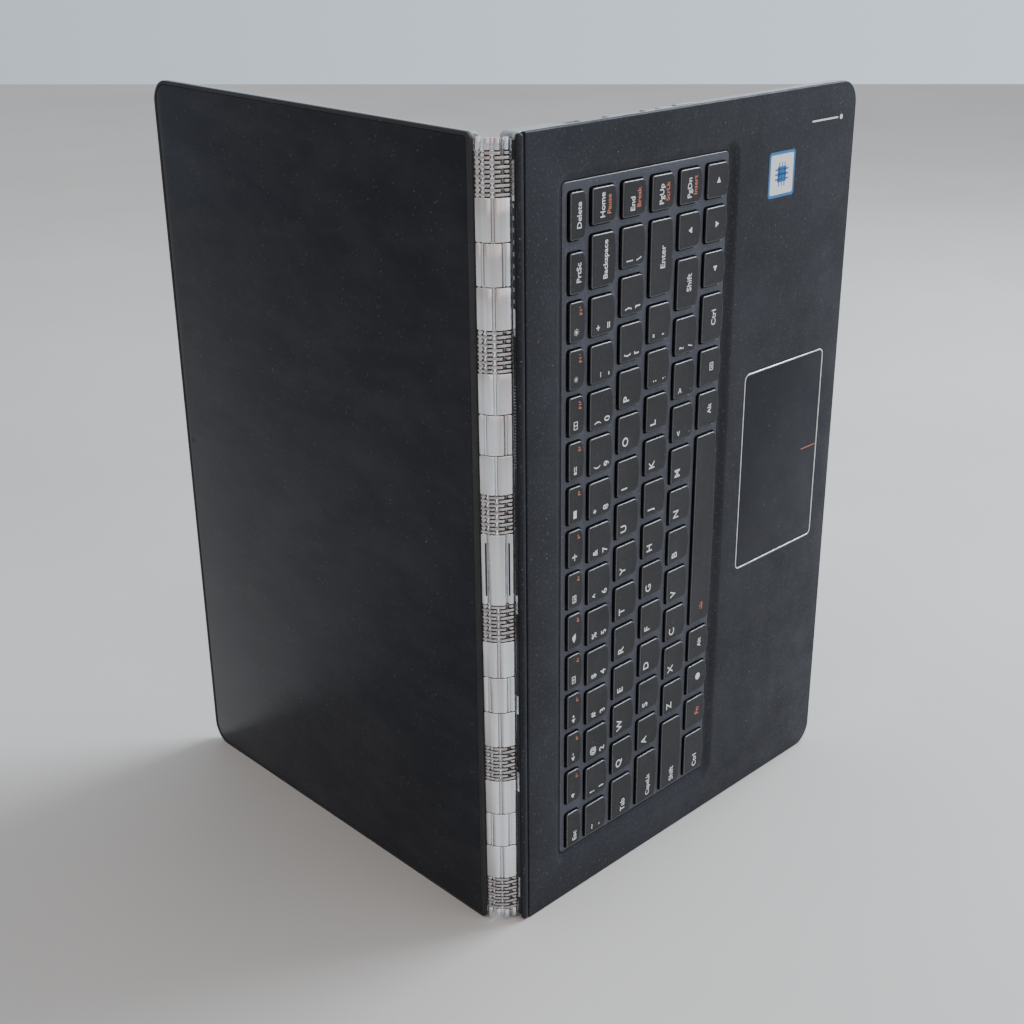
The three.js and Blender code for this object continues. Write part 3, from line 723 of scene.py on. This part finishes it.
MARKS = {
    "F1": SPEAKER + [box_mark(-0.1, 0.1, -0.4, 0.4)],
    "F2": SPEAKER + DASH,
    "F3": SPEAKER + CROSS,
    "F4": FRAME_BOX + [box_mark(-0.4, 0.4, -0.1, 0.1), box_mark(-0.1, 0.1, -0.35, 0.35)],
    "F5": [turned(TRIANGLE, 1), [(a + 0.9, b) for a, b in TRIANGLE]],
    "F6": FRAME_BOX + [box_mark(-0.1, 0.1, -0.5, -0.1), box_mark(-0.8, 0.8, -0.1, 0.05)],
    "F7": [box_mark(-0.9, 0.9, -0.12, 0.12),
           [(-0.1, -0.9), (0.2, -0.9), (0.5, 0), (0.2, 0.9), (-0.1, 0.9), (0.1, 0)]],
    "F8": [box_mark(-1, 1, -0.6, 0.6)],
    "F9": [box_mark(-1, -0.4, -0.5, 0.5), box_mark(-0.2, 1, 0.2, 0.45), box_mark(-0.2, 1, -0.45, -0.2)],
    "F10": FRAME_BOX + [box_mark(-0.1, 0.1, -0.5, 0.5)],
    "F11": [[(a * 0.8, b * 0.8) for a, b in part] for part in SUN],
    "F12": SUN,
    "home": [circle(1.0, 20)],
    "menu": FRAME_BOX + [box_mark(-0.5, 0.5, 0.1, 0.25), box_mark(-0.5, 0.5, -0.25, -0.1)],
    "light": [box_mark(-1, 1, -0.6, -0.3), box_mark(-0.15, 0.15, 0, 0.7),
              box_mark(-0.9, -0.5, 0.1, 0.35), box_mark(0.5, 0.9, 0.1, 0.35)],
}
ARROWS = {"up": 0, "left": 1, "down": 2, "right": 3}


def icon_solids(label, style, y0, span):
    return [mark_solid(points, style, y0, span) for points in MARKS[label]]


def legend_solids(label, row, span):
    """The white and the orange prints of one key."""
    y0, _ = row_place(row)
    if label in ARROWS:
        return [mark_solid(turned(TRIANGLE, ARROWS[label]), ARROW_ICON, y0, span)], []
    if label == "light":
        return [], icon_solids(label, LIGHT_ICON, y0, span)
    if label in ("home", "menu"):
        return icon_solids(label, ICON, y0, span), []
    if label in MARKS:
        return icon_solids(label, TOP_ICON, y0, span), [text_solid(label, TOP_NUMBER, y0, span)]
    if label == "Fn":
        return [], [text_solid(label, FN_WORD, y0, span)]
    if label == "Alt":
        return [text_solid(label, ALT_WORD, y0, span)], []
    if len(label) == 1:
        return [text_solid(label, LETTER, y0, span)], []
    if len(label) == 2:
        return [text_solid(label[0], SHIFTED, y0, span), text_solid(label[1], PLAIN, y0, span)], []
    return [text_solid(label, word_style(label, row, span[0]), y0, span)], []


def nav_legends():
    white, orange = [], []
    for row, (main, second) in zip(NAV_ROWS, NAV_KEYS):
        y0, _ = row_place(row)
        white.append(text_solid(main, NAV_WORD, y0, NAV))
        orange.append(text_solid(second, NAV_SECOND, y0, NAV))
    return white, orange


# Faces that get the keys' painted shade: their sides and skirts.
def on_key_side(normal):
    return normal.dot(FACE_OUT) < 0.25


def on_soft_edge(normal):
    """The rounded edge between a key's top, or the plate's, and its sides, which gets a painted highlight."""
    return 0.3 < normal.dot(FACE_OUT) < 0.96


def add_key_group(cad_node, caps, prints):
    obj = piece("caps_" + cad_node, caps, BASE, KEYCAP, cad_node, [cad_node])
    # Painted shade on the keys' sides.
    paint_where(obj, KEY_SIDE_PAINTED_SHADE, on_key_side)
    # Painted highlight on the keys' rounded top edges.
    paint_where(obj, PAINTED_EDGE_HIGHLIGHT, on_soft_edge)
    for name, solids, ink in (("white", prints[0], WHITE_INK), ("orange", prints[1], ORANGE_INK)):
        if solids:
            piece(f"print_{name}_{cad_node}", solids, BASE, ink, cad_node)


def add_keyboard():
    add_keyboard_floor()
    for cad_node, row, spans, labels in KEYS:
        white, orange = [], []
        for span, label in zip(spans, labels):
            more_white, more_orange = legend_solids(label, row, span)
            white += more_white
            orange += more_orange
        add_key_group(cad_node, [keycap(row, span) for span in spans], (white, orange))
    add_key_group("keys_navigation", [keycap(row, NAV) for row in NAV_ROWS], nav_legends())


# ---- hinge ----
CAP_LEN = 4.5  # rows along z, from each end to the middle
MODULE_LEN = 15.7
LONG_LEN = 29.6
ROW_GAP = 0.3
BAR_ROUND = 1.6
BAR_SOFT = 0.32
SLEEVE = 1.0
SHAFT_CAP = 1.25  # radii at the ends of the hinge
LINK_PIN = 0.85
PLATES = 10  # thin link plates in one row of them
PLATE_THICK = 1.05
PLATE_ROUND = 1.45
PLATE_CORNER = 1.2
PLATE_SOFT = 0.2
NECK_HALF = 0.95
ROD = 0.4  # bright rod that fills the groove between two barrels
ROD_OFF = 1.13
BASE_BAR = (-8.2, -2.3, 0.0, 3.6)
LID_BAR = (1.5, 3.2, 0.7, 4.2)
BAR_ENDS = (2.2, WIDTH - 2.2)
KNUCKLE_REACH = 2.0  # how far a knuckle's neck runs into its bar
SLIT = (22.0, 0.7, 4.5)  # length, width, distance from the hinge's middle line
SLIT_PROUD = 0.02
SLIT_DEEP = 0.3
# x0, x1, y0, y1 of the dark rail between the barrels and the deck, of its small teeth and of its tabs
RAIL = (-3.4, -2.05, -0.2, 0.5)
TOOTH = (-3.1, -2.5, -0.32, -0.1)
TAB = (-3.25, -2.3, -0.3, 0.0)
TEETH = ((203, 235, 1.2), (265, 299, 4.2))  # start, end and step of the rows of small teeth
TABS = ((11, 21), (63, 72), (99, 107), (143, 151), (253, 263), (301, 315))


def hinge_rows():
    side = [("cap", CAP_LEN)]
    side += [(kind, MODULE_LEN) for kind in ("plates", "pair", "single", "pair") * 2 + ("plates",)]
    order = side + [("long", LONG_LEN)] + side[::-1]
    z = (WIDTH - sum(length for _, length in order)) / 2
    rows = []
    for kind, length in order:
        rows.append((kind, z, z + length))
        z += length
    return rows


def plate_spans(z0, z1, first):
    """Every other thin plate of a row, starting with the given one."""
    step = (z1 - z0) / PLATES
    middles = [z0 + (i + 0.5) * step for i in range(first, PLATES, 2)]
    return [(middle - PLATE_THICK / 2, middle + PLATE_THICK / 2) for middle in middles]


def row_parts(rows, outer):
    """Spans of bars, thin plates, caps and rods: the outer links', or what stands between those."""
    bars, plates, caps, rods = [], [], [], []
    for kind, z0, z1 in rows:
        span = (z0 + ROW_GAP / 2, z1 - ROW_GAP / 2)
        if kind == "plates":
            plates += plate_spans(z0, z1, 0 if outer else 1)
        elif kind == "cap":
            caps.append(span)
        elif (kind == "pair") == outer:
            bars.append(span)
        elif kind != "long":
            rods.append(span)
    return bars, plates, caps, rods


def on_end_edge(normal):
    """The rounded edges at the ends of the barrels."""
    return 0.15 < abs(normal.z) < 0.97


def link_bar(radius, corner):
    return round_rect(-radius, PITCH + radius, -radius, radius, corner, 8)


def cap_solids(caps, outer):
    """Round ends on an outer link's two shafts, or the middle link's pin and the web that crosses it."""
    if outer:
        return [prism(circle(SHAFT_CAP, 24, x, 0), z0, z1, along, 0.25, 0.25, 2)
                for z0, z1 in caps for x in (0, PITCH)]
    pins = runs(circle(LINK_PIN, 20, PITCH / 2, 0), caps, 0.2)
    return pins + [block(0, PITCH, -0.4, 0.4, z0 + 0.6, z1 - 0.6) for z0, z1 in caps]


def link_piece(i, kind, solids, material, stands_for=()):
    body = LINK_BODIES[i]
    return piece(f"{body}_{kind}", solids, LINK[i], material, body, stands_for)


def add_link(i, rows):
    outer = i != 1
    bar_spans, thin_spans, caps, rod_spans = row_parts(rows, outer)
    bars = runs(link_bar(BARREL, BAR_ROUND), bar_spans, BAR_SOFT, 3)
    obj = link_piece(i, "bars", bars + cap_solids(caps, outer), STEEL, ["hinge_" + LINK_BODIES[i]])
    paint_where(obj, POLISHED, on_end_edge)
    # The shaft seen through the gaps between the thin plates is steel in shade; this dark plastic sleeve is
    # painted shade.
    painted_shade_sleeve = prism(circle(SLEEVE), rows[0][1] + ROW_GAP, rows[-1][2] - ROW_GAP, along)
    link_piece(i, "painted_shade_sleeve", [painted_shade_sleeve], DARK_PLASTIC)
    rods = [prism(circle(ROD, 16, PITCH / 2, side * ROD_OFF), z0, z1, along)
            for z0, z1 in rod_spans for side in (1, -1)]
    link_piece(i, "rods", rods, POLISHED)
    plates = runs(link_bar(PLATE_ROUND, PLATE_CORNER), thin_spans, PLATE_SOFT)
    link_piece(i, "plates", plates, PLATE_STEEL)


def knuckle_outline(x, radius, reach):
    """A ring round a panel's shaft with a neck that runs into the panel."""
    turn = math.degrees(math.asin(NECK_HALF / radius))
    ring = arc(x, -SHAFT_BEHIND, radius, 90 + turn, 450 - turn, 22)
    return ring + [(x + NECK_HALF, reach), (x - NECK_HALF, reach)]


def spine_outline(bar, shaft_x):
    """The bar that carries the knuckles, hollowed to clear the barrels."""
    x0, x1, y0, y1 = bar
    if x1 - x0 > 2 * CHANNEL:
        turn = math.degrees(math.asin((y0 + SHAFT_BEHIND) / CHANNEL))
        hollow = arc(shaft_x, -SHAFT_BEHIND, CHANNEL, 180 - turn, turn, 12)
        return [(x0, y0)] + hollow + [(x1, y0), (x1, y1), (x0, y1)]
    turns = [math.degrees(math.acos((x - shaft_x) / CHANNEL)) for x in (x0, x1)]
    return arc(shaft_x, -SHAFT_BEHIND, CHANNEL, *turns, 12) + [(x1, y1), (x0, y1)]


def add_bracket(body, place, shaft_x, bar, rows):
    bar_spans, thin_spans, _, _ = row_parts(rows, False)
    reach = bar[2] + KNUCKLE_REACH
    thick, thin = [knuckle_outline(shaft_x, radius, reach) for radius in (BARREL, PLATE_ROUND)]
    spine = prism(spine_outline(bar, shaft_x), *BAR_ENDS, along)
    solids = [spine] + runs(thick, bar_spans, BAR_SOFT, 3)
    obj = piece(body + "_knuckles", solids, place, STEEL, body, [body + "_hinge_bracket"])
    paint_where(obj, POLISHED, on_end_edge)
    plates = runs(thin, thin_spans, PLATE_SOFT)
    piece(body + "_thin_knuckles", plates, place, PLATE_STEEL, body)


def add_slits():
    """Dark strips let into the round fronts of the long row's knuckles, painted shade for their slits."""
    length, width, off = SLIT
    middle = (SHAFTS[0].x + SHAFTS[3].x) / 2 / MM
    half = math.degrees(width / 2 / BARREL)
    for body, sign, shaft in (("base", 1, SHAFTS[0] / MM), ("lid", -1, SHAFTS[3] / MM)):
        turn = math.degrees(math.asin((middle + sign * off - shaft.x) / BARREL)) - 90
        front = arc(shaft.x, shaft.y, BARREL + SLIT_PROUD, turn - half, turn + half, 4)
        back = arc(shaft.x, shaft.y, BARREL - SLIT_DEEP, turn + half, turn - half, 4)
        # A dark strip standing a little proud of the barrel: painted shade where a slit is, with nothing cut.
        solid = prism(front + back, (WIDTH - length) / 2, (WIDTH + length) / 2, along)
        piece(body + "_painted_slit_shade", [solid], Matrix.Scale(MM, 4), DARK_PLASTIC, body)


def add_hinge_gap():
    """The dark strip and its bright tabs between the barrels and the keyboard deck."""
    rail = full_width(*RAIL, 2.4)
    teeth = []
    for start, end, step in TEETH:
        z = start
        while z < end:
            teeth.append(block(*TOOTH, z, z + step * 0.35))
            z += step
    piece("hinge_gap_rail", [rail], BASE, DARK_PLASTIC, "base")
    piece("hinge_gap_teeth", teeth, BASE, PORT_METAL, "base")
    tabs = [block(*TAB, z0, z1, 0.05) for z0, z1 in TABS]
    piece("hinge_gap_tabs", tabs, BASE, BRIGHT, "base")


def add_hinge():
    rows = hinge_rows()
    for i in range(3):
        add_link(i, rows)
    add_bracket("base", BASE, -BASE_SHAFT_DEEP, BASE_BAR, rows)
    add_bracket("lid", LID, LID_SHAFT_DEEP, LID_BAR, rows)
    add_slits()
    add_hinge_gap()


# ---- bottom cover and ports ----
COVER_TOP = -DECK_THICK - 0.3
SIDE_DEEP = 6.2  # upright part of the side, below the face
SIDE_SLOPE = 6.0
THICK_END = 26.0
TAPER = (182.0, 216.0)
SIDE_OVERRUN = 0.3  # a cutter runs on past the shell by this share of its slope
FRONT_OVERRUN = 0.1
# side (1 right, 0 left), x0, x1, y0 and y1 of the mouth, corner radius
MOUTHS = [
    (1, (-6.2, -3.0, 28.0, 37.2), 1.5),
    (1, (-7.9, -2.7, 38.8, 52.2), 0.5),
    (1, (-7.2, -2.7, 69.9, 74.5), 2.2),
    (0, (-7.9, -2.7, 14.0, 27.4), 0.5),
    (0, (-7.9, -2.7, 34.0, 47.4), 0.5),
    (0, (-6.0, -3.2, 54.0, 80.0), 0.6),
]
MOUTH_DEEP = 14.0
# x0, x1, y0, y1 and distance from both sides: the deep room, the shallow one and the hinge bracket's opening
ROOMS = [(-8.3, 0, 4.2, 182, 7.6), (-4.1, 0, 181, 213, 7.6), (-8.3, -2.2, -1, 5, 2.0)]
BUTTON_GAP = 0.2
FAN_SLOT = (12.0, 20.0, 1.8)  # y0, y1, width
FAN_SLOTS = range(196, 280, 4)  # where each starts along z
SPEAKER_HOLE = (192.0, 193.0, 1.0)
SPEAKER_HOLES = [first + 3 * k for first in (30, 270) for k in range(9)]
SCREW_HEAD = 2.2
SCREW_HOLE = 2.4
# CAD node, body, x0, x1, y0 and y1, how far it stands out
BUTTONS = [
    ("power_button", "power_switch", (-5.4, -3.0, 92.0, 104.0), 0.5),
    ("rotation_lock_button", "rotation_lock", (-5.4, -3.0, 81.5, 88.5), 0.3),
]
FEET = {"rear_foot": (26.0, 32.0), "front_foot": (170.0, 176.0)}
FOOT_ENDS = (40.0, 284.0)
FOOT_PROUD = 0.95


def side_wedge(z_face, inward):
    """Cuts the slope along one side, from behind the thick hinge end to the front."""
    rise = SIDE_OVERRUN * (BASE_THICK - SIDE_DEEP)
    high, low = -SIDE_DEEP + rise, -BASE_THICK - rise
    outside = z_face - inward * SIDE_OVERRUN * SIDE_SLOPE
    inside = z_face + inward * (1 + SIDE_OVERRUN) * SIDE_SLOPE
    outline = [(low - 1, outside), (high, outside), (low, inside), (low - 1, inside)]
    return loft([[(x, y, z) for x, z in outline] for y in (THICK_END, DEPTH + 5)])


def front_wedge():
    """Cuts the slope that thins the base towards its front edge."""
    rise = FRONT_OVERRUN * (BASE_THICK - FRONT_THICK)
    run = FRONT_OVERRUN * (TAPER[1] - TAPER[0])
    low, front = -BASE_THICK - rise, TAPER[1] + run
    outline = [(low, TAPER[0] - run), (-FRONT_THICK + rise, front), (low, front)]
    return prism(outline, -9, WIDTH + 9, along)


def screw_places():
    corners = [(y, z) for y in (14.0, 206.0) for z in (30.0, 118.0, 206.0, 294.0)]
    return corners + [(100.0, 16.0), (100.0, 308.0)]


def screw_top(y):
    """Height of the cover's outside at y."""
    share = max(0.0, (y - TAPER[0]) / (TAPER[1] - TAPER[0]))
    return -BASE_THICK + share * (BASE_THICK - FRONT_THICK)


def vent_slots():
    """Cutters for the fan's slots and for the small holes of the two speakers."""
    y0, y1, wide = FAN_SLOT
    slots = [prism(round_rect(y0, y1, z, z + wide, 0.8, 4), -BASE_THICK - 1, -BASE_THICK + 1.4)
             for z in FAN_SLOTS]
    y0, y1, wide = SPEAKER_HOLE
    return slots + [prism(round_rect(y0, y1, z, z + wide, 0.45, 3), -9, -5) for z in SPEAKER_HOLES]


def side_openings():
    """Cutters for the mouths of the ports and for the two buttons."""
    cutters = []
    for side, bounds, corner in MOUTHS:
        z0, z1 = (WIDTH - MOUTH_DEEP, WIDTH + 1) if side else (-1, MOUTH_DEEP)
        cutters.append(prism(rect(bounds, 0, corner, 5), z0, z1, along))
    for _, _, bounds, _ in BUTTONS:
        cutters.append(prism(rect(bounds, BUTTON_GAP, 1.2, 5), WIDTH - 8, WIDTH + 1, along))
    return cutters


def add_bottom_cover():
    outline = round_rect(0, DEPTH, 0, WIDTH, CORNERS, 8)
    solid = prism(outline, -BASE_THICK, COVER_TOP)
    shell = piece("bottom_shell", [solid], BASE, SHELL, "base", ["bottom_cover"])
    for wedge in (side_wedge(0.0, 1), side_wedge(WIDTH, -1), front_wedge()):
        carve(shell, [wedge], BASE)
    soften(shell, 0.4)
    for room in ROOMS:
        carve(shell, [full_width(*room)], BASE)
    carve(shell, [channel(-BASE_SHAFT_DEEP)], BASE)
    for cutter in side_openings():
        carve(shell, [cutter], BASE)
    carve(shell, vent_slots(), BASE)
    holes, heads = [], []
    for y, z in screw_places():
        holes.append(prism(circle(SCREW_HOLE, 24, y, z), -BASE_THICK - 5, screw_top(y) + 0.5))
        heads.append(prism(circle(SCREW_HEAD, 24, y, z), screw_top(y) + 0.15, screw_top(y) + 0.7))
    carve(shell, holes, BASE)
    piece("cover_screws", heads, BASE, PORT_METAL, "base")


def add_buttons():
    for cad_node, body, bounds, proud in BUTTONS:
        solid = prism(rect(bounds, 0, 1.1), WIDTH - 2.2, WIDTH + proud, along, 0, 0.28)
        piece(cad_node + "_cap", [solid], BASE, SHELL, body, [cad_node])


def add_feet():
    for name, (y0, y1) in FEET.items():
        outline = round_rect(y0, y1, *FOOT_ENDS, 2.9, 8)
        strip = prism(outline, -BASE_THICK - FOOT_PROUD, -BASE_THICK + 0.1, across, 0.4, 0)
        piece(name + "_strip", [strip], BASE, RUBBER, "base", [name])


# ---- display ----
RIM_PROUD = 0.2
RIM_DEEP = 1.1
SIDE_RIM = 1.5
HINGE_RIM = 2.5
GLASS_THICK = 0.8
GLASS_GAP = 0.12
WEBCAM = (1.6, 5.2)  # radius, distance from the free edge
LID_ROOM = (0, 3.1, -1, DEPTH - 2.2, 2.35)  # as in ROOMS


def glass_outline(gap):
    radii = [1.5, FRONT_CORNER - SIDE_RIM, FRONT_CORNER - SIDE_RIM, 1.5]
    side = SIDE_RIM + gap
    return round_rect(HINGE_RIM + gap, DEPTH - side, side, WIDTH - side, radii, 10)


def add_display():
    outer, inner = round_rect(0, DEPTH, 0, WIDTH, CORNERS, 10), glass_outline(0.0)
    rings = [(outer, RIM_DEEP), (outer, 0.25), (inset(outer, 0.08), 0.0), (inset(outer, 0.35), -RIM_PROUD),
             (inset(inner, -0.2), -RIM_PROUD), (inner, -0.02), (inner, RIM_DEEP)]
    rim = loft([across(points, x) for points, x in rings], closed=True)
    piece("lid_rim", [rim], LID, RUBBER, "lid", ["display_rim"])
    glass = prism(glass_outline(GLASS_GAP), 0.0, GLASS_THICK, across, 0.18, 0, 3)
    piece("lid_glass", [glass], LID, GLASS, "lid", ["touch_glass"])
    radius, from_edge = WEBCAM
    lens = prism(circle(radius, 24, DEPTH - from_edge, WIDTH / 2), -0.015, 0.1, across)
    piece("webcam_lens", [lens], LID, DARK_PLASTIC, "lid")
    cover = prism(outer, RIM_DEEP + 0.25, LID_THICK, across, 0.15, 1.5, 6)
    shell = piece("lid_shell", [cover], LID, SHELL, "lid", ["lid_cover"])
    carve(shell, [full_width(*LID_ROOM)], LID)
    carve(shell, [channel(LID_SHAFT_DEEP)], LID)


# ---- marks on the deck ----
STICKER = (153.4, 172.4, 281.4, 300.0)  # y0, y1, z0, z1
STICKER_RIM = 1.2
CHIP_HALF = 3.2
CHIP_LEG = (5.0, 0.35)  # half length, half width
CORNER_LINE = (184, 204, 309.2, 309.9)
CORNER_DOT = (1.1, 20, 206.5, 309.55)  # radius, steps, y, z


def deck_print(name, outlines, low, high, material):
    solids = [prism(outline, low, high) for outline in outlines]
    piece(name, solids, BASE, material, "base")


def add_deck_marks():
    y0, y1, z0, z1 = STICKER
    y, z = (y0 + y1) / 2, (z0 + z1) / 2
    deck_print("sticker", [rect(STICKER, 0, 1.5)], 0.0, 0.05, BLUE_INK)
    face = rect(STICKER, -STICKER_RIM, 1.0)
    deck_print("sticker_face", [face], 0.04, 0.06, WHITE_INK)
    chip = [round_rect(y - CHIP_HALF, y + CHIP_HALF, z - CHIP_HALF, z + CHIP_HALF, 0.6, 4)]
    long, wide = CHIP_LEG
    for k in (-2.0, 0.0, 2.0):
        chip += [round_rect(y + k - wide, y + k + wide, z - long, z + long, 0.2, 2),
                 round_rect(y - long, y + long, z + k - wide, z + k + wide, 0.2, 2)]
    deck_print("sticker_chip", chip, 0.05, 0.07, BLUE_INK)
    line_and_dot = [round_rect(*CORNER_LINE, 0.3, 4), circle(*CORNER_DOT)]
    deck_print("corner_mark", line_and_dot, 0.0, 0.02, WHITE_INK)


# ---- parts carried over from the frame ----
SLOT_LOOKS = {
    "rubberised_deck": DECK, "silver_shell": SHELL, "hinge_steel": STEEL, "keycap": KEYCAP,
    "plate": DARK_PLASTIC, "bezel_metal": BRIGHT, "touchpad_face": PAD_FACE, "display_glass": GLASS,
    "rim_rubber": RUBBER, "board": BOARD, "copper": COPPER, "port_shell": PORT_METAL,
}


def dress_frame_nodes():
    for part in frame["record"]["subparts"]:
        mesh = frame["nodes"][part["node"]].data
        mesh.materials.clear()
        mesh.materials.append(SLOT_LOOKS[part["material_slot"]])


# ---- stage ----
FLOOR_REACH = 3000.0


def add_stage():
    slab = block(-FLOOR_REACH, FLOOR_REACH, -FLOOR_REACH, FLOOR_REACH, -1, 0)
    floor = mesh_object("floor", [slab], Matrix.Scale(MM, 4))
    floor.data.materials.append(floor_look())


# place, width and height, power, colour
LIGHTS = {
    "window": ((0.95, 0.65, 1.25), (0.9, 0.9), 34, (0.84, 0.92, 1.0)),
    "room": ((-1.0, -1.6, 1.9), (0.9, 0.9), 8, (1.0, 0.97, 0.93)),
}
LIGHT_AIM = Vector((0, 0, 0.15))
WARM_SKY = (0.90, 0.80, 0.74, 1)
COOL_SKY = (0.76, 0.87, 1.0, 1)


def add_light(name, place, size, power, color):
    data = bpy.data.lights.new(name, "AREA")
    data.shape = "RECTANGLE"
    data.size, data.size_y = size
    data.energy = power
    data.color = color
    light = new_object(name, data)
    light.location = place
    light.rotation_euler = (LIGHT_AIM - light.location).to_track_quat("-Z", "Y").to_euler()


def add_lights():
    """A soft sky, brighter to the right and cooler towards the back, a window and a dimmer lamp."""
    world = bpy.data.worlds.new("world")
    world.use_nodes = True
    bpy.context.scene.world = world
    direction = node(world, "TexCoord").outputs["Generated"]
    axes = node(world, "SeparateXYZ", Vector=direction).outputs
    strength = remap(world, axes["X"], -0.9, 0.9, 0.5, 1.5)
    color = blend_color(world, remap(world, axes["Y"], -0.8, 0.7), WARM_SKY, COOL_SKY)
    background = world.node_tree.nodes["Background"]
    world.node_tree.links.new(color, background.inputs["Color"])
    world.node_tree.links.new(strength, background.inputs["Strength"])
    for name, values in LIGHTS.items():
        add_light(name, *values)


add_camera()
add_stage()
add_lights()
dress_frame_nodes()
add_deck()
add_deck_marks()
add_touchpad()
add_keyboard()
add_hinge()
add_bottom_cover()
add_buttons()
add_feet()
add_display()
